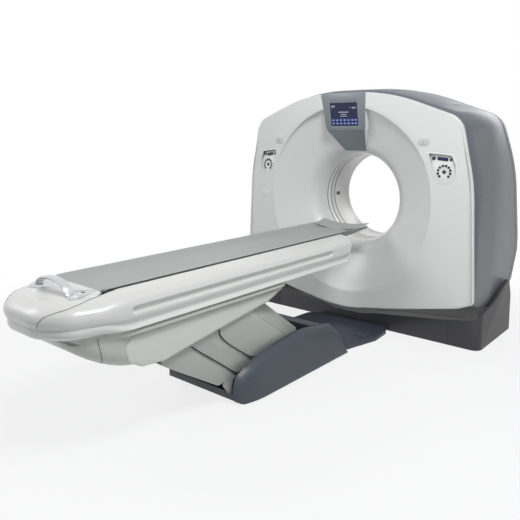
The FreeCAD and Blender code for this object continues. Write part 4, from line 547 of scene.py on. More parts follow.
def paintSides(mesh, look):
    # the walls that face sideways take a second finish
    mesh.materials.append(finish[look])
    for face in mesh.polygons:
        if abs(face.normal.x) > softEdges["sideSteep"]:
            face.material_index = len(mesh.materials) - 1


softCopies = {name: softened(name, width) for name, width in softEdges["widths"].items()}
cutAway(softCopies["table_base_cover"].data, softEdges["baseAcross"])
paintSides(softCopies["display_panel"].data, "whiteCover")
print("covers softened,", len(softCopies))

# table shell: one section carried round the table's edge and over the nose, with the lid's seam laid on it
tableShell = {
    "edge": [                            # from the gantry end round the nose: across, along, round
        (325, -872, 0), (325, -2740, 0), (320, -2890, 420), (262, -3078, 160), (118, -3167, 190),
    ],
    "side": [                            # section of the straight sides: inwards from the edge, height
        (104, 800), (104, 812), (102.5, 815.5), (98, 816.5), (84, 815), (66, 811), (48, 805),
        (32, 797), (19, 787),
        (9, 777), (2.5, 766), (0, 752), (0, 748), (0, 744), (0, 740), (0, 736), (0, 732), (0, 728),
        (0, 724),
        (0, 720), (0, 716), (0, 711), (0, 705), (0, 700), (1, 694.5), (4.5, 688), (10.5, 681),
        (16, 674), (19, 667),
        (18.5, 660), (15, 653.5), (10, 647.5), (5.5, 643), (3, 640), (3.4, 637), (7, 634.6), (40, 634),
    ],
    "nose": [                            # the same stations on the nose
        (104, 786), (104, 794), (103, 798), (98, 801), (84, 799), (66, 794), (48, 787), (32, 778),
        (19, 768),
        (10, 758), (5, 750), (3.6, 745.5), (2.5, 741.5), (1.7, 737.5), (1.1, 733.5), (0.7, 729.5),
        (0.6, 725.5),
        (0.9, 721.5), (1.5, 717.5), (2.4, 713.5), (3.6, 709.5), (5, 705.5), (6.5, 702), (8, 698.5),
        (9.5, 695.5),
        (11.5, 692.5), (15, 690.8), (16, 689.4), (14.5, 686), (12.5, 680), (11.5, 672), (12.5, 664),
        (15.5, 656),
        (21, 648), (30, 640.5), (44, 635.6), (180, 634.4),
    ],
    "grooveShape": [                     # across the groove from its upper edge: level, share of the depth
        (-1, 0), (-0.985, 0.25), (-0.93, 0.7), (-0.82, 0.93), (-0.5, 1), (0, 1), (0.4, 0.94),
        (0.7, 0.8), (0.86, 0.58),
        (0.95, 0.28), (0.99, 0.06), (1, 0),
    ],
    "grooveRow": 11, "grooveDepth": 19, "grooveFoot": -2776, "grooveHead": -1105, "grooveMiddle": 728,
    "grooveHeight": 43, "grooveRunIn": 9, "grooveLeast": 0.05, "grooveTurn": (0.5, 2, 5, 8.5, 12.5, 17, 22),
    "noseStart": -2770, "noseFull": -2930,
    "head": -870, "headSlant": 0.30, "headLeanFrom": 762, "headTop": 800,
    "crownRow": 2, "crownSteps": 7, "crownArch": 4, "crownEase": 0.7,
    "crownDrop": [(-2862, 816.5), (-2990, 812), (-3080, 802), (-3130, 792)],
    "troughFoot": -2866, "troughHalf": 221, "troughWall": 770,
    "middle": (0, -1900),
    "lidSeam": [
        (219, -2870, 812), (226, -2930, 806), (236, -3000, 796), (232, -3055, 786), (200, -3102, 770),
        (168, -3128, 750), (152, -3148, 725), (148, -3160, 700), (148, -3165, 691),
    ],
    "seamRadius": 1.5,
}


def crownHeight(y):
    # height of the nose's top along its middle
    rows = tableShell["crownDrop"]
    if y >= rows[0][0]:
        return rows[0][1]
    for (y0, z0), (y1, z1) in zip(rows, rows[1:]):
        if y >= y1:
            return z0 + (z1 - z0) * (y - y0) / (y1 - y0)
    return rows[-1][1]


def withGrooveEnds(edge):
    # more stations where the groove's round ends turn
    plan = tableShell
    wanted = [plan["grooveFoot"] + step for step in plan["grooveTurn"]]
    wanted += [plan["grooveHead"] - step for step in plan["grooveTurn"]]
    filled = [edge[0]]
    for here, there in zip(edge, edge[1:]):
        low, high = min(here.y, there.y), max(here.y, there.y)
        inside = [y for y in wanted if low + 0.2 < y < high - 0.2]
        for y in sorted(inside, reverse=here.y > there.y):
            filled.append(here.lerp(there, (y - here.y) / (there.y - here.y)))
        filled.append(there)
    return filled


def shellColumn(spot, along, atEnd):
    # the section at one station of the table's edge
    plan = tableShell
    inward = Vector((along.y, -along.x))
    if inward.dot(Vector(plan["middle"]) - spot) < 0:
        inward = -inward
    nose = eased(-spot.y, -plan["noseStart"], -plan["noseFull"])
    reach = min(spot.y - plan["grooveFoot"], plan["grooveHead"] - spot.y)
    half = plan["grooveHeight"] / 2
    column = []
    for row, ((sideIn, sideUp), (noseIn, noseUp)) in enumerate(zip(plan["side"], plan["nose"])):
        deep = sideIn + (noseIn - sideIn) * nose
        up = sideUp + (noseUp - sideUp) * nose
        if 0 <= row - plan["grooveRow"] < len(plan["grooveShape"]) and reach > 0:
            # groove with a round end at both ends
            level, share = plan["grooveShape"][row - plan["grooveRow"]]
            tall = 1 if reach > half else math.sqrt(max(0, 1 - (1 - reach / half) ** 2))
            up = plan["grooveMiddle"] - level * half * max(tall, plan["grooveLeast"])
            deep = plan["grooveDepth"] * share * min(1, reach / plan["grooveRunIn"])
        x, y = spot.x + inward.x * deep, spot.y + inward.y * deep
        if atEnd:                        # the gantry end leans back towards the foot under its crown
            y = plan["head"] - max(0, plan["headLeanFrom"] - up) * plan["headSlant"]
        column.append((x, y, up))
    return column


def buildTableShell():
    plan = tableShell
    corners = plan["edge"] + [(-x, y, r) for x, y, r in reversed(plan["edge"])]
    edge = withGrooveEnds(roundedPath(corners, False, steps=9, span=32))
    count, rows = len(edge), len(plan["side"])
    points = []
    for k, spot in enumerate(edge):
        along = (edge[min(count - 1, k + 1)] - edge[max(0, k - 1)]).normalized()
        points += shellColumn(spot, along, k in (0, count - 1))
    faces = columnFaces(count, rows)
    # nose top: from the inner line of the nose back to the foot of the trough
    crown = [k * rows + plan["crownRow"] for k in range(count)]
    steps = plan["crownSteps"]
    columns = []
    for first in (k for k in crown if points[k][1] < plan["troughFoot"]):
        x, startY, startZ = points[first]
        column = [first]
        for step in range(1, steps + 1):
            share = step / steps
            y = startY + (plan["troughFoot"] - startY) * share
            ridge = crownHeight(y) + plan["crownArch"] * (1 - (x / plan["troughHalf"]) ** 2)
            points.append((x, y, startZ + (ridge - startZ) * eased(share, 0, 1) ** plan["crownEase"]))
            column.append(len(points) - 1)
        columns.append(column)
    for left, right in zip(columns, columns[1:]):
        faces += [(left[j], left[j + 1], right[j + 1], right[j]) for j in range(steps)]
    # walls of the trough's foot and the closed gantry end
    foot = [column[-1] for column in columns]
    low = len(points)
    points += [(points[k][0], points[k][1], plan["troughWall"]) for k in foot]
    faces += [(foot[j], foot[j + 1], low + j + 1, low + j) for j in range(len(foot) - 1)]
    for end, side in ((0, 1), (count - 1, -1)):
        ring = [end * rows + j for j in range(rows)]
        low = len(points)
        for j in ring:
            points.append((plan["troughHalf"] * side, points[j][1], min(points[j][2], plan["headTop"])))
        faces += [(ring[j], ring[j + 1], low + j + 1, low + j) for j in range(rows - 1)]
    return buildPiece(
        "table_skin", points, faces, "tableWhite", "table_top", 0.00005,
        replacing=("table_upper_shell", "nose_lid"), slot="white_cover", sharp=40,
    )


def tube(name, path, radius, look, body, slot, closed=True):
    # round strip along a path of points in millimetres
    sides = 8
    spots = [Vector(p) for p in path]
    points = []
    for k, spot in enumerate(spots):
        along = (spots[min(k + 1, len(spots) - 1)] - spots[max(k - 1, 0)]).normalized()
        across = along.cross(Vector((0, 0, 1)))
        if across.length < 0.1:
            across = along.cross(Vector((1, 0, 0)))
        across.normalize()
        up = across.cross(along)
        for side in range(sides):
            angle = 2 * math.pi * side / sides
            points.append(spot + (across * math.cos(angle) + up * math.sin(angle)) * radius)
    faces = bandFaces(len(spots), sides)
    if closed:
        faces.append(tuple(range(sides))[::-1])
        faces.append(tuple((len(spots) - 1) * sides + side for side in range(sides)))
    return buildPiece(name, points, faces, look, body, slot=slot)


def laidOn(skin, path, steps=6):
    # a path of rough points, filled in, smoothed and dropped to the nearest place on a skin
    tree = BVHTree.FromObject(skin, bpy.context.evaluated_depsgraph_get())
    filled = []
    for a, b in zip(path, path[1:]):
        filled += [Vector(a).lerp(Vector(b), step / steps) for step in range(steps)]
    filled.append(Vector(path[-1]))
    laid = [tree.find_nearest(spot * mm)[0] / mm for spot in filled]
    for tries in range(3):
        laid = [laid[0]] + [(a + b * 2 + c) / 4 for a, b, c in zip(laid, laid[1:], laid[2:])] + [laid[-1]]
    return [tree.find_nearest(spot * mm)[0] / mm for spot in laid]


def onSide(path, side):
    return [(x * side, y, z) for x, y, z in path]


tableSkin = buildTableShell()
for hand, side in hands.items():
    path = laidOn(tableSkin, onSide(tableShell["lidSeam"], side))
    tube("lid_seam_" + hand, path, tableShell["seamRadius"], "rubber", "table_top", "dark_cover")
print("table shell skinned,", len(tableSkin.data.polygons), "faces")

# lower cover under the table shell: cross sections along its length, boat shaped at the foot end
lowerCover = {
    "sections": [                        # along, half width, bottom, keel round
        (-3056, 60, 629, 4), (-3052, 120, 616, 14), (-3040, 165, 594, 30), (-3018, 200, 570, 44),
        (-2984, 230, 542, 56),
        (-2940, 254, 512, 64), (-2890, 270, 484, 70), (-2836, 279, 459, 74), (-2780, 283, 439, 76),
        (-2720, 283, 424, 76),
        (-2650, 283, 414, 70), (-2570, 283, 411, 60), (-2500, 283, 419, 26), (-2440, 283, 430, 16),
        (-2300, 283, 451, 8),
        (-2100, 283, 480, 6), (-1900, 283, 508, 6), (-1748, 283, 529, 6), (-1680, 283, 553, 6),
        (-1620, 283, 579, 6),
        (-1580, 283, 604, 6), (-1562, 283, 628, 4),
    ],
    "top": 633,
    "flange": [(8, 633), (17, 632.2), (22, 629), (28, 621), (31, 613), (31.5, 608), (27, 603), (1, 597)],
    "flangeFoot": (-2880, -2740), "flangeHead": (1556, 1640), "flangeRoom": 38, "flangeLeast": 0.02,
    "keelSteps": 6, "bottomHalf": 251,
    "openHalf": 247, "openFoot": -2680, "head": -1562,       # the legs pass through the opening
    "pad": [                             # side view of the raised pad: along, up, round
        (-2752, 592, 26), (-2792, 540, 44), (-2776, 470, 40), (-2700, 426, 40), (-2560, 414, 120),
        (-2452, 432, 150),
        (-1752, 533, 200), (-1640, 588, 10),
    ],
    "padRings": [(-1, -8), (0, 0.5), (2.5, 2.8), (6, 4.8), (12, 5.8), (17, 6)],      # inwards, proud
    "padTaper": 150,
    "footSeam": [
        (262, -2925, 622), (262, -2918, 580), (258, -2905, 530), (240, -2890, 494), (205, -2880, 474),
    ],
    "footSeamRadius": 1.5,
    "coverSeam": [(309, -2768, 633.6), (309, -2400, 633.6), (309, -1800, 633.6), (309, -1630, 633.6)],
    "coverSeamRadius": 2.4,
}


def buildLowerCover():
    plan = lowerCover
    points = []
    for y, half, bottom, keel in plan["sections"]:
        spread = eased(y, *plan["flangeFoot"]) * eased(-y, *plan["flangeHead"])
        room = (plan["top"] - bottom - keel * 0.5) / plan["flangeRoom"]
        squeeze = min(1, max(plan["flangeLeast"], room))
        column = [
            (half + out * spread, plan["top"] - (plan["top"] - up) * squeeze) for out, up in plan["flange"]
        ]
        strip = column[-1][1]
        column += [(half, strip * (1 - share) + (bottom + keel) * share) for share in (0, 0.33, 0.66, 1)]
        for step in range(1, plan["keelSteps"] + 1):
            angle = math.pi / 2 * step / plan["keelSteps"]
            column.append((half - keel * (1 - math.cos(angle)), bottom + keel * (1 - math.sin(angle))))
        inner = min(half - keel - 1, plan["bottomHalf"])
        column.append((max(inner * 0.5, 10), bottom))
        column += [(0, bottom)] + [(-x, z) for x, z in reversed(column)]
        points += [(x, y, z) for x, z in column]
    count = len(plan["sections"])
    rows = len(points) // count
    faces = bandFaces(count, rows, closed=False)
    faces += [tuple(end * rows + j for j in range(rows)) for end in (0, count - 1)]
    mesh = tidyMesh(meshFrom("lower_cover_skin", inMetres(points), faces), 0.0001)
    work = bmesh.new()
    work.from_mesh(mesh)
    half, foot = plan["openHalf"], plan["openFoot"]
    for place, normal in (((half, 0, 0), (1, 0, 0)), ((-half, 0, 0), (-1, 0, 0)), ((0, foot, 0), (0, -1, 0))):
        cutAlong(work, Vector(place) * mm, normal)
    gone = []
    for face in work.faces:
        spot = face.calc_center_median() / mm
        isOpening = abs(spot.x) < half and spot.y > foot and face.normal.z < -0.2
        if isOpening or (spot.y > plan["head"] and face.normal.y > 0.7):
            gone.append(face)
    bmesh.ops.delete(work, geom=gone, context="FACES")
    work.to_mesh(mesh)
    work.free()
    return addPiece(
        "lower_cover_skin", mesh, "lowerCover", "table_top", ("table_lower_cover",), "lower_cover", sharp=40
    )


def buildCoverPad(hand, side):
    plan = lowerCover
    outline = roundedPath(plan["pad"], True, steps=6, span=60)
    turn = sum(a.cross(b) for a, b in zip(outline, outline[1:] + outline[:1]))
    half = max(section[1] for section in plan["sections"])
    count = len(outline)
    points = []
    for inset, rise in plan["padRings"]:
        for k, spot in enumerate(outline):
            along = (outline[(k + 1) % count] - outline[k - 1]).normalized()
            inward = Vector((-along.y, along.x)) * math.copysign(1, turn)
            taper = min(1, max(0.02, (plan["pad"][-1][0] - spot.x) / plan["padTaper"]))
            flat = spot + inward * inset * taper
            points.append(((half + rise) * side, flat.x, flat.y))
    rings = len(plan["padRings"])
    faces = bandFaces(rings, count)
    faces.append(tuple((rings - 1) * count + k for k in range(count)))
    buildPiece("lower_pad_" + hand, points, faces, "lowerPad", "table_top", slot="lower_cover", sharp=50)


lowerSkin = buildLowerCover()
for hand, side in hands.items():
    buildCoverPad(hand, side)
    path = laidOn(lowerSkin, onSide(lowerCover["footSeam"], side), 5)
    tube("foot_seam_" + hand, path, lowerCover["footSeamRadius"], "rubber", "table_top", "dark_cover")
    path = onSide(lowerCover["coverSeam"], side)
    tube("cover_seam_" + hand, path, lowerCover["coverSeamRadius"], "rubber", "table_top", "dark_cover")

# painted shade: dark lines along the lower edges of the leg covers, where they step over one another; painted
# highlight: the two light lines along the fold
legPaintedLines = {
    # lip lines are painted shade in the near-black finish, fold lines are painted highlight in the white
    # finish
    "kinds": {"lip": (3.0, "rubber", "dark_cover"), "fold": (2.0, "tableWhite", "leg_cover")},
    "upper_lift": [                      # kind, across, then along and up
        ("lip", 262.5, [
            (-2147, 470), (-2144, 434), (-2134, 412), (-2114, 390), (-2056, 342), (-1934, 254), (-1801, 159),
            (-1765, 133),
        ]),
        ("fold", 262.2, [(-1890, 512), (-1779, 437), (-1654, 350), (-1521, 253), (-1478, 221)]),
        ("fold", 262.2, [(-1906, 502), (-1807, 434), (-1684, 345), (-1552, 248), (-1508, 215)]),
    ],
    "middle_lift": [("lip", 256.5, [(-2352, 418), (-2290, 370), (-2177, 287), (-2056, 197), (-1968, 132)])],
}
for body in ("upper_lift", "middle_lift"):
    for kind, across, path in legPaintedLines[body]:
        radius, look, slot = legPaintedLines["kinds"][kind]
        for hand, side in hands.items():
            name = "leg_%s_%s_%d_%s" % (kind, body.split("_")[0], abs(path[0][0]), hand)
            tube(name, [(across * side, y, z) for y, z in path], radius, look, body, slot)
print("lower cover and leg lines made")

# release handle: an arched band with a white inner rim, on two pointed feet with a stud in each
handle = {
    "half": 136, "rise": 74, "foot": 800, "along": -2975, "deep": 40, "thick": 10, "lean": 0.10,
    "arch": 0.85,
    "steps": 40, "rim": 6, "rimInset": 8, "rimNarrower": 6,
    "section": [                         # shares of the depth and the thickness
        (-0.5, -0.32), (-0.36, -0.5), (0.36, -0.5), (0.5, -0.32), (0.5, 0.32), (0.36, 0.5),
        (-0.36, 0.5), (-0.5, 0.32),
    ],
    "plate": [                           # across, along, round
        (112, -2990, 14), (172, -3008, 14), (188, -2972, 30), (190, -2868, 4), (168, -2868, 10),
        (84, -2930, 16),
    ],
    "plateTop": 818, "plateBevel": 2.0,
    "stud": (140, -2945, 9), "studFoot": 812, "studTop": 819.5, "studBevel": 1.5,
}


def archBand(name, half, rise, deep, thick, look, slot):
    plan = handle
    steps, section = plan["steps"], plan["section"]
    points = []
    for step in range(steps + 1):
        angle = math.pi * step / steps
        x, z = -math.cos(angle) * half, math.sin(angle) ** plan["arch"] * rise
        out = Vector((-math.cos(angle) / half, math.sin(angle) / rise)).normalized()
        for u, v in section:
            up = z + out.y * v * thick
            y = plan["along"] + u * deep - up * plan["lean"]
            points.append((x + out.x * v * thick, y, plan["foot"] + up))
    size = len(section)
    faces = bandFaces(steps + 1, size)
    faces += [tuple(range(size))[::-1], tuple(steps * size + j for j in range(size))]
    return buildPiece(name, points, faces, look, "table_top", slot=slot, sharp=50)


def flatPlate(name, outline, low, high, look, bevel):
    # plate with a rounded outline drawn across and along, from one height to another
    count = len(outline)
    middle = sum(outline, Vector((0, 0))) / count
    points = []
    for inset, z in ((0, low), (0, high - bevel), (bevel * 0.3, high - bevel * 0.3), (bevel, high)):
        for spot in outline:
            flat = spot + (middle - spot).normalized() * inset
            points.append((flat.x, flat.y, z))
    faces = bandFaces(4, count) + [tuple(3 * count + k for k in range(count)), tuple(range(count))[::-1]]
    buildPiece(name, points, faces, look, "table_top", slot=look)


band = archBand(
    "release_band", handle["half"], handle["rise"], handle["deep"], handle["thick"], "handle", "handle"
)
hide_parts("release_handle")
archBand(
    "release_band_rim", handle["half"] - handle["rimInset"], handle["rise"] - handle["rimInset"],
    handle["deep"] - handle["rimNarrower"], handle["rim"], "tableWhite", "white_cover",
)
for hand, side in hands.items():
    outline = roundedPath(onSide(handle["plate"], side), True, steps=5, span=60)
    name = "handle_plate_" + hand
    flatPlate(name, outline, handle["foot"], handle["plateTop"], "handle", handle["plateBevel"])
for hand, side in hands.items():
    x, y, radius = handle["stud"]
    turns = [k * math.pi / 10 for k in range(20)]
    ring = [Vector((x * side + radius * math.cos(turn), y + radius * math.sin(turn))) for turn in turns]
    flatPlate("handle_stud_" + hand, ring, handle["studFoot"], handle["studTop"], "lens", handle["studBevel"])
print("release handle made")

# ring of small keys on each pad and the pad's raised bezel
padFace = {
    "ringRadius": 44, "ringMiddle": 6, "keyRadius": 9.2, "keyProud": 3.2, "keys": 10,
    "firstAngle": -135, "stepAngle": 30,
    "keySides": 24,
    "bezel": [(-1.0, 1.2), (1.5, 3.0), (5.0, 3.4), (9.0, 1.6), (13.0, 0.2)],     # outwards, proud
}


def padFrame(side):
    # matrix that lays a flat drawing (across, into the cover, up) on the pad, in metres
    x = keypad["across"]
    turn = math.asin(x / frontCover["bulge"])
    spot = Vector((x, faceDepth(x) + keypad["sink"], keypad["up"])) * mm
    tip = Matrix.Rotation(math.radians(-keypad["tip"]), 4, "X")
    lay = Matrix.Translation(spot) @ Matrix.Rotation(turn, 4, "Z") @ tip
    return lay if side > 0 else Matrix.Diagonal((-1, 1, 1, 1)) @ lay


def ringTree():
    # Geometry Nodes: a round flat key set out on an arc of points
    tree = bpy.data.node_groups.new("key_ring", "GeometryNodeTree")
    sockets = {
        "Ring radius": "Float", "Key radius": "Float", "Key height": "Float", "Keys": "Int",
        "First angle": "Float",
        "Sweep": "Float", "Finish": "Material",
    }
    for name, kind in sockets.items():
        tree.interface.new_socket(name=name, in_out="INPUT", socket_type="NodeSocket" + kind)
    tree.interface.new_socket(name="Geometry", in_out="OUTPUT", socket_type="NodeSocketGeometry")
    given = addNode(tree, "NodeGroupInput").outputs
    arc = addNode(tree, "GeometryNodeCurveArc", wires={
        "Resolution": given["Keys"], "Radius": given["Ring radius"], "Start Angle": given["First angle"],
        "Sweep Angle": given["Sweep"],
    })
    dots = addNode(tree, "GeometryNodeCurveToPoints", {"mode": "EVALUATED"}, {"Curve": arc.outputs["Curve"]})
    key = addNode(
        tree, "GeometryNodeMeshCylinder", {"Vertices": padFace["keySides"]},
        {"Radius": given["Key radius"], "Depth": given["Key height"]},
    )
    place = addNode(tree, "GeometryNodeInstanceOnPoints", wires={
        "Points": dots.outputs["Points"], "Instance": key.outputs["Mesh"],
    })
    real = addNode(tree, "GeometryNodeRealizeInstances", wires={"Geometry": place.outputs["Instances"]})
    paint = addNode(tree, "GeometryNodeSetMaterial", wires={
        "Geometry": real.outputs["Geometry"], "Material": given["Finish"],
    })
    addNode(tree, "NodeGroupOutput", wires={"Geometry": paint.outputs["Geometry"]})
    return tree


def grownByTree(tree, settings):
    # plain mesh of what a tree makes
    holder = bpy.data.objects.new("grown", bpy.data.meshes.new("grown"))
    scene.collection.objects.link(holder)
    modifier = holder.modifiers.new("grow", "NODES")
    modifier.node_group = tree
    for item in tree.interface.items_tree:
        if item.in_out == "INPUT" and item.name in settings:
            modifier[item.identifier] = settings[item.name]
    graph = bpy.context.evaluated_depsgraph_get()
    mesh = bpy.data.meshes.new_from_object(holder.evaluated_get(graph))
    holder.modifiers.clear()
    bpy.data.objects.remove(holder)
    return mesh


def moved(mesh, matrix):
    mesh.transform(matrix)
    if matrix.determinant() < 0:
        mesh.flip_normals()
    return mesh


def buildBezel(hand, side):
    outline = padOutline(side, 0)
    centre = Vector((keypad["across"] * side, keypad["up"]))
    middle = sum((spot - centre for spot in outline), Vector((0, 0))) / len(outline) + centre
    points = []
    for grow, rise in padFace["bezel"]:
        for spot in outline:
            flat = spot + (spot - middle).normalized() * grow
            points.append((flat.x, faceDepth(flat.x) - rise, flat.y))
    faces = bandFaces(len(padFace["bezel"]), len(outline))
    buildPiece(
        hand + "_pad_bezel", points, faces, "whiteCover", "tilting_gantry", slot="white_cover", sharp=60
    )


ringKeys = ringTree()
upright = Matrix.Rotation(math.radians(90), 4, "X")      # a drawing on the floor plane stood up to face -Y
for hand, side in hands.items():
    mesh = grownByTree(ringKeys, {
        "Ring radius": padFace["ringRadius"] * mm, "Key radius": padFace["keyRadius"] * mm,
        "Key height": 2 * padFace["keyProud"] * mm, "Keys": padFace["keys"],
        "First angle": math.radians(90 - padFace["firstAngle"]),
        "Sweep": -math.radians(padFace["stepAngle"] * (padFace["keys"] - 1)), "Finish": finish["keys"],
    })
    lay = padFrame(side) @ Matrix.Translation((0, 0, padFace["ringMiddle"] * mm)) @ upright
    addPiece(hand + "_key_ring", moved(mesh, lay), None, "tilting_gantry", slot="keys")
    buildBezel(hand, side)

# the screen's picture: words and figures as rows of short strokes over two rows of buttons
screenFace = {
    "centre": 1677, "front": 4.2, "brow": (-512, 1792), "fold": (-470, 1572),
    "bars": [                            # across, up, width, height
        (-104, 68, 6, 6), (-92, 64, 36, 13), (92, 50, 32, 13), (60, 53, 12, 7), (-2, 18, 92, 9),
        (-2, 0, 50, 6),
        (-2, -14, 62, 6), (-100, 46, 10, 4),
    ],
    "strokeStep": 7, "strokeWidth": 0.62, "strokeTall": (0.72, 1.0, 0.8, 0.9),
    "buttonRows": (-44, -70), "buttonColumns": (-98, -64, -30, 4, 38, 72, 102), "button": (26, 17),
    "mark": (11, 6),
    "wordThick": 0.5, "buttonThick": 0.4, "markThick": 0.8, "sunk": 0.3,
}


def screenFrame():
    # lays a drawing across and up on the screen's front, in metres
    plan = screenFace
    lean = math.atan2(plan["fold"][0] - plan["brow"][0], plan["brow"][1] - plan["fold"][1])
    y = plan["brow"][0] + (plan["brow"][1] - plan["centre"]) * math.tan(lean)
    lay = Matrix.Translation(Vector((0, y, plan["centre"])) * mm) @ Matrix.Rotation(lean, 4, "X")
    return lay @ Matrix.Translation((0, plan["front"] * mm, 0))


def tiles(name, rects, look, matrix, slot, thick):
    # small flat blocks facing -Y: across, up, width, height
    points, faces = [], []
    for x, z, width, height in rects:
        x0, x1, z0, z1 = x - width / 2, x + width / 2, z - height / 2, z + height / 2
        sides = [(0, 1, 2, 3), (7, 6, 5, 4), (0, 4, 5, 1), (1, 5, 6, 2), (2, 6, 7, 3), (3, 7, 4, 0)]
        faces += [tuple(len(points) + k for k in side) for side in sides]
        for y in (-thick, screenFace["sunk"]):
            points += [(x0, y, z0), (x1, y, z0), (x1, y, z1), (x0, y, z1)]
    mesh = moved(meshFrom(name, inMetres(points), faces), matrix)
    addPiece(name, mesh, look, "tilting_gantry", slot=slot)


def wordBars(rects):
    # a word reads as a row of narrow strokes with gaps
    plan = screenFace
    strokes = []
    for x, z, width, height in rects:
        count = max(1, int(width // plan["strokeStep"]))
        for k in range(count):
            share = (k + 0.5) / count - 0.5
            tall = height * plan["strokeTall"][(k * 3 + int(width)) % 4]
            wide = width / count * plan["strokeWidth"]
            strokes.append((x + share * width, z - (height - tall) / 2, wide, tall))
    return strokes


lay = screenFrame()
tiles("screen_words", wordBars(screenFace["bars"]), "screenMarks", lay, "screen", screenFace["wordThick"])
places = [(x, z) for z in screenFace["buttonRows"] for x in screenFace["buttonColumns"]]
buttons = [(x, z, *screenFace["button"]) for x, z in places]
tiles("screen_buttons", buttons, "screenKeys", lay, "screen", screenFace["buttonThick"])
marks = [(x, z, *screenFace["mark"]) for x, z in places]
tiles("screen_button_marks", marks, "screenMarks", lay, "screen", screenFace["markThick"])

# painted shade: dark bands laid in the grooves between the bore rings, standing for the shade in those
# grooves
boreGrooveShade = {"places": (-164, -112, -53), "radius": 350, "wide": 9, "proud": 0.4, "sunk": -2, "steps": 96}


def grooveShadeBand(name, y):
    plan = boreGrooveShade
    near, far = y - plan["wide"] / 2, y + plan["wide"] / 2
    ring = ((near, plan["sunk"]), (near, plan["proud"]), (far, plan["proud"]), (far, plan["sunk"]))
    points, faces = [], []
    for step in range(plan["steps"]):
        angle = 2 * math.pi * step / plan["steps"]
        for depth, rise in ring:
            radius = plan["radius"] - rise
            points.append((radius * math.sin(angle), depth, frontCover["centre"] + radius * math.cos(angle)))
        here, there = step * 4, (step + 1) % plan["steps"] * 4
        faces += [(here + j, there + j, there + (j + 1) % 4, here + (j + 1) % 4) for j in range(4)]
    # the band takes the near-black finish as painted shade
    buildPiece(name, points, faces, "rubber", "tilting_gantry", slot="dark_cover")


for k, y in enumerate(boreGrooveShade["places"]):
    grooveShadeBand("bore_joint_%d" % (k + 1), y)

# thin outlines and a small mark on the oval lights
ovals = {
    "across": 650, "up": 1470, "half": (41, 23), "square": 0.75, "steps": 32, "line": 1.5, "lineProud": 0.3,
    "mark": [(0, 0, 12, 2.4), (0, 0, 2.4, 12)], "markProud": 2.2, "markThick": 0.5,
}
for hand, side in hands.items():
    path = []
    for k in range(ovals["steps"] + 1):
        angle = 2 * math.pi * k / ovals["steps"]
        u, v = (
            math.copysign(abs(part) ** ovals["square"], part) * half
            for part, half in zip((math.cos(angle), math.sin(angle)), ovals["half"])
        )
        x = ovals["across"] * side + u
        path.append((x, faceDepth(x) - ovals["lineProud"], ovals["up"] + v))
    tube(hand + "_oval_line", path, ovals["line"], "lineMark", "tilting_gantry", "lens", closed=False)
    depth = faceDepth(ovals["across"]) - ovals["markProud"]
    lay = Matrix.Translation(Vector((ovals["across"] * side, depth, ovals["up"])) * mm)
    tiles(hand + "_oval_mark", ovals["mark"], "lineMark", lay, "lens", ovals["markThick"])

# white walls behind the display panel's edges, down to the dish
cheeks = {
    "edge": [                            # across, along, up
        (198, -500, 1838), (198, -510, 1792), (176, -468, 1572), (94, -292, 1394),
    ],
    "inset": 1, "front": 12, "deep": 120, "thick": 3, "steps": 8,
}
for hand, side in hands.items():
    points = []
    for a, b in zip(cheeks["edge"], cheeks["edge"][1:]):
        for step in range(cheeks["steps"]):
            x, y, z = Vector(a).lerp(Vector(b), step / cheeks["steps"])
            front, back = y + cheeks["front"], y + cheeks["front"] + cheeks["deep"]
            outer, inner = x - cheeks["inset"], x - cheeks["inset"] - cheeks["thick"]
            ring = [(outer, front), (outer, back), (inner, back), (inner, front)]
            points += [(across * side, along, z) for across, along in ring]
    faces = bandFaces(len(points) // 4, 4)
    buildPiece("panel_cheek_" + hand, points, faces, "whiteCover", "tilting_gantry", slot="white_cover")
print("pads, screen and bore joints made")

# full rounded fenders over the table base cover's arch
fender = {
    "right": [                           # side view: along, up, round
        (-968, 3, 8), (-996, 140, 100), (-1105, 238, 140), (-1450, 291, 700), (-1760, 255, 1100),
        (-1975, 206, 260),
        (-2092, 155, 80), (-2062, 3, 40),
    ],
    "left": [
        (-968, 3, 8), (-996, 140, 100), (-1105, 238, 140), (-1450, 291, 700), (-1700, 262, 500),
        (-1850, 215, 200),
        (-1962, 140, 80), (-1938, 3, 40),
    ],
    "floorAcross": 378, "topAcross": 331, "top": 291, "inner": 293.4, "tuck": 46, "tuckLength": 210,
    "round": 62, "roundSteps": 10, "innerRings": (90, 40, 0), "floorShare": 0.10, "floorRise": (4, 90),
    "middle": (-1500, 120), "flatShares": (0.35, 0.7, 0.97), "flatUp": 90, "flatAlong": (-1900, -1150),
}


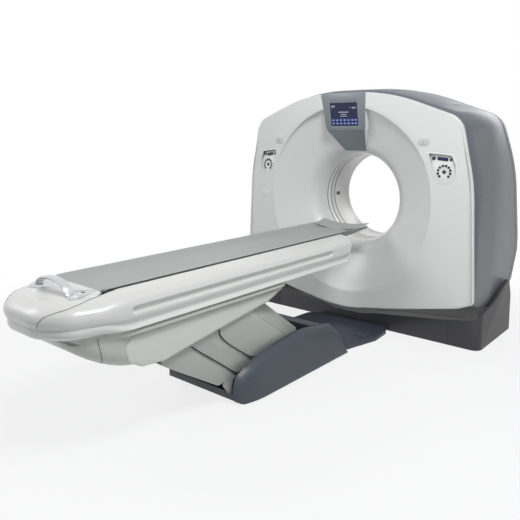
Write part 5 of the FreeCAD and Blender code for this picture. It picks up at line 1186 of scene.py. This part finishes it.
def buildFender(hand, side):
    plan = fender
    outline = roundedPath(plan[hand], True, steps=9, span=45)
    count = len(outline)
    foot = min(spot.x for spot in outline)

    def sideAcross(along, up):
        # how far out the side stands, drawn in towards its foot end
        lean = plan["floorAcross"] + (plan["topAcross"] - plan["floorAcross"]) * up / plan["top"]
        return lean - plan["tuck"] * (1 - between((along - foot) / plan["tuckLength"])) ** 2

    rings = [(inset, None) for inset in plan["innerRings"]]
    for step in range(plan["roundSteps"] + 1):
        angle = math.pi / 2 * step / plan["roundSteps"]
        rings.append((plan["round"] * (1 - math.cos(angle)), plan["round"] * (1 - math.sin(angle))))
    normals = []
    for k in range(count):
        along = (outline[(k + 1) % count] - outline[k - 1]).normalized()
        inward = Vector((-along.y, along.x))
        if inward.dot(Vector(plan["middle"]) - outline[k]) < 0:
            inward = -inward
        normals.append(inward)
    points = []
    for inset, back in rings:
        for spot, inward in zip(outline, normals):
            share = plan["floorShare"] + (1 - plan["floorShare"]) * eased(spot.y, *plan["floorRise"])
            flat = spot + inward * inset * share
            x = plan["inner"]
            if back is not None:
                x = max(x, sideAcross(flat.x, flat.y) - back)
            points.append((x * side, flat.x, flat.y))
    # the flat of the side, drawn in to a line along its middle
    last = points[-count:]
    low, high = plan["flatAlong"]
    for share in plan["flatShares"]:
        for x, y, z in last:
            z += (plan["flatUp"] - z) * share
            y += (max(low, min(high, y)) - y) * share
            points.append((sideAcross(y, z) * side, y, z))
    faces = bandFaces(len(points) // count, count)
    faces.append(tuple(len(points) - count + k for k in range(count)))
    body = bodyOf("table_base_cover")
    buildPiece("fender_" + hand, points, faces, "tableBase", body, 0.0004, slot="table_base_cover", sharp=50)


for hand, side in hands.items():
    buildFender(hand, side)

# plates that carry the leg covers on behind one another's rounded corners
legFills = {
    "thick": 1.6,
    "plates": [                          # name, body, across, side view
        ("middle", "middle_lift", 255.6, [
            (-2215, 452), (-2200, 545), (-2085, 560), (-2030, 470), (-2050, 372), (-2150, 340),
        ]),
        ("lower", "lower_lift", 249.6, [
            (-2112, 118), (-2040, 190), (-1900, 150), (-1905, 60), (-1990, 30), (-2062, 52),
        ]),
    ],
}
for name, body, across, outline in legFills["plates"]:
    for hand, side in hands.items():
        points = [((across - deep) * side, y, z) for deep in (0, legFills["thick"]) for y, z in outline]
        count = len(outline)
        faces = [tuple(range(count)), tuple(range(count, 2 * count))[::-1]] + bandFaces(2, count)
        buildPiece("leg_fill_%s_%s" % (name, hand), points, faces, "legCover", body, slot="leg_cover")
print("fenders and leg fills made")

# slit along each side of the cradle
cradleSlit = {"radius": 1.3, "across": 216.4, "up": 820, "along": (-2835, -2000, -1200, -470)}
for hand, side in hands.items():
    path = [(cradleSlit["across"] * side, y, cradleSlit["up"]) for y in cradleSlit["along"]]
    tube("cradle_slit_" + hand, path, cradleSlit["radius"], "rubber", "cradle_slide", "cradle")

# joints across the top cover, laid on the cover itself
topLines = {
    "radius": 1.6, "joints": {"rear": -330, "front": 330}, "along": (-340, -200, 0, 200, 330),
    "above": 1900,
}
for name, x in topLines["joints"].items():
    path = laidOn(softCopies["top_cover"], [(x, y, topLines["above"]) for y in topLines["along"]], 4)
    tube("top_joint_" + name, path, topLines["radius"], "rubber", "tilting_gantry", "dark_cover")

# the cradle's mattress layer, lifting off its tip
tipLayer = {
    "half": 205, "edge": 826, "sag": 25, "thick": 5, "columns": 16, "fullFrom": 3, "least": 0.1,
    "rows": [(-580, -3), (-540, -0.8), (-505, 1.5), (-475, 5), (-448, 9.5), (-425, 14)],      # along, lift
}


def buildTipLayer():
    plan = tipLayer
    columns = plan["columns"]
    points, faces = [], []
    for layer in (0, 1):
        for y, lift in plan["rows"]:
            for k in range(columns + 1):
                x = plan["half"] * (2 * k / columns - 1)
                thick = plan["thick"] * layer * min(1, max(0, lift) / plan["fullFrom"] + plan["least"])
                up = plan["edge"] - plan["sag"] * (1 - (x / plan["half"]) ** 2)
                points.append((x, y, up + lift + thick))
    row = columns + 1
    top = len(points) // 2
    for j in range(len(plan["rows"]) - 1):
        for k in range(columns):
            a = j * row + k
            faces.append((a, a + row, a + row + 1, a + 1))
            faces.append((top + a, top + a + 1, top + a + row + 1, top + a + row))
        for a in (j * row, j * row + columns):
            faces.append((a, top + a, top + a + row, a + row))
    for j in (0, len(plan["rows"]) - 1):
        faces += [(a, a + 1, top + a + 1, top + a) for a in range(j * row, j * row + columns)]
    buildPiece("cradle_tip_layer", points, faces, "cradle", "cradle_slide", slot="cradle")


buildTipLayer()
print("small lines and the cradle's tip made")

# camera, light and floor
studio = {
    "eye": (2.43975, -4.37722, 1.53906),
    "turn": 40.18,                       # degrees to the left of the bore's line
    "tip": 7.0,                          # degrees down
    "lens": 40.32, "sensor": 36, "shift": -0.1077, "clip": (0.05, 60),
    "lights": {                          # place, size, power, aim
        "key": ((-3.4, -5.2, 3.9), 2.4, 112, (0, -0.8, 0.9)),
        "fill": ((4.8, -3.2, 2.0), 3.0, 14, (0.3, -0.8, 0.8)),
        "rim": ((0.8, 5.0, 3.3), 2.6, 42, (0.7, 0.0, 1.6)),
        "top": ((2.3, -2.7, 4.1), 1.2, 120, (0, -0.8, 0.5)),
    },
    "air": 0.20, "airTint": (0.95, 0.97, 1.0),
    "paper": (0.74, 0.75, 0.76), "paperRough": 0.8, "floorHalf": 30, "floorDrop": 0.002,
    "fadeMiddle": (0, -1.2, 0), "fadeFrom": 1.6, "fadeTo": 3.6, "nearWhite": 0.80,
}


def placeCamera():
    turn, tip = math.radians(studio["turn"]), math.radians(studio["tip"])
    ahead = Vector((-math.sin(turn) * math.cos(tip), math.cos(turn) * math.cos(tip), -math.sin(tip)))
    lens = bpy.data.cameras.new("camera")
    lens.lens = studio["lens"]
    lens.sensor_width = studio["sensor"]
    lens.shift_y = studio["shift"]
    lens.clip_start, lens.clip_end = studio["clip"]
    camera = bpy.data.objects.new("camera", lens)
    camera.location = studio["eye"]
    camera.rotation_euler = ahead.to_track_quat("-Z", "Y").to_euler()
    scene.collection.objects.link(camera)
    scene.camera = camera


def hangLights():
    for name, (place, size, power, aim) in studio["lights"].items():
        lamp = bpy.data.lights.new(name + "_light", "AREA")
        lamp.shape = "RECTANGLE"
        lamp.size = lamp.size_y = size
        lamp.energy = power
        light = bpy.data.objects.new(name + "_light", lamp)
        light.location = place
        light.rotation_euler = (Vector(aim) - light.location).to_track_quat("-Z", "Y").to_euler()
        scene.collection.objects.link(light)


def seenDirectly(tree):
    # 1 for rays from the lens, from a mirror-like surface or through glass
    path = addNode(tree, "ShaderNodeLightPath").outputs
    seen = path["Is Camera Ray"]
    for other in ("Is Glossy Ray", "Is Transmission Ray"):
        seen = addNode(tree, "ShaderNodeMath", {"operation": "MAXIMUM"}, {0: seen, 1: path[other]}).outputs[0]
    return seen


def layFloor():
    half = studio["floorHalf"]
    corners = [(-half, -half, 0), (half, -half, 0), (half, half, 0), (-half, half, 0)]
    mesh = meshFrom("studio_floor", corners, [(0, 1, 2, 3)])
    floor = bpy.data.objects.new("studio_floor", mesh)
    floor.location = (0, 0, -studio["floorDrop"])
    scene.collection.objects.link(floor)
    paper, tree, shader = blankMaterial("studio_paper")
    shader.inputs["Base Color"].default_value = (*studio["paper"], 1)
    shader.inputs["Roughness"].default_value = studio["paperRough"]
    # white paper far off, fading to the lit floor with its shadow close to the machine
    place = addNode(tree, "ShaderNodeTexCoord").outputs["Object"]
    reach = addNode(
        tree, "ShaderNodeVectorMath", {"operation": "DISTANCE", 1: studio["fadeMiddle"]}, {0: place}
    )
    fade = addNode(tree, "ShaderNodeMapRange", {
        "interpolation_type": "SMOOTHSTEP", "From Min": studio["fadeFrom"], "From Max": studio["fadeTo"],
        "To Min": studio["nearWhite"], "To Max": 1.0,
    }, {"Value": reach.outputs["Value"]})
    seen = seenDirectly(tree)
    share = addNode(tree, "ShaderNodeMath", {"operation": "MULTIPLY"}, {0: fade.outputs[0], 1: seen})
    glow = addNode(tree, "ShaderNodeEmission", {"Color": (1, 1, 1, 1)})
    mix = addNode(
        tree, "ShaderNodeMixShader", wires={0: share.outputs[0], 1: shader.outputs[0], 2: glow.outputs[0]}
    )
    tree.links.new(mix.outputs[0], tree.nodes["Material Output"].inputs[0])
    mesh.materials.append(paper)


def lightWorld():
    world = bpy.data.worlds.new("studio_air")
    world.use_nodes = True
    tree = world.node_tree
    tree.nodes.clear()
    air = addNode(tree, "ShaderNodeBackground", {"Color": (*studio["airTint"], 1), "Strength": studio["air"]})
    white = addNode(tree, "ShaderNodeBackground", {"Color": (1, 1, 1, 1), "Strength": 1.0})
    seen = seenDirectly(tree)
    mix = addNode(tree, "ShaderNodeMixShader", wires={0: seen, 1: air.outputs[0], 2: white.outputs[0]})
    addNode(tree, "ShaderNodeOutputWorld", wires={0: mix.outputs[0]})
    scene.world = world


placeCamera()
layFloor()
lightWorld()
hangLights()
print("camera, floor and lights placed")
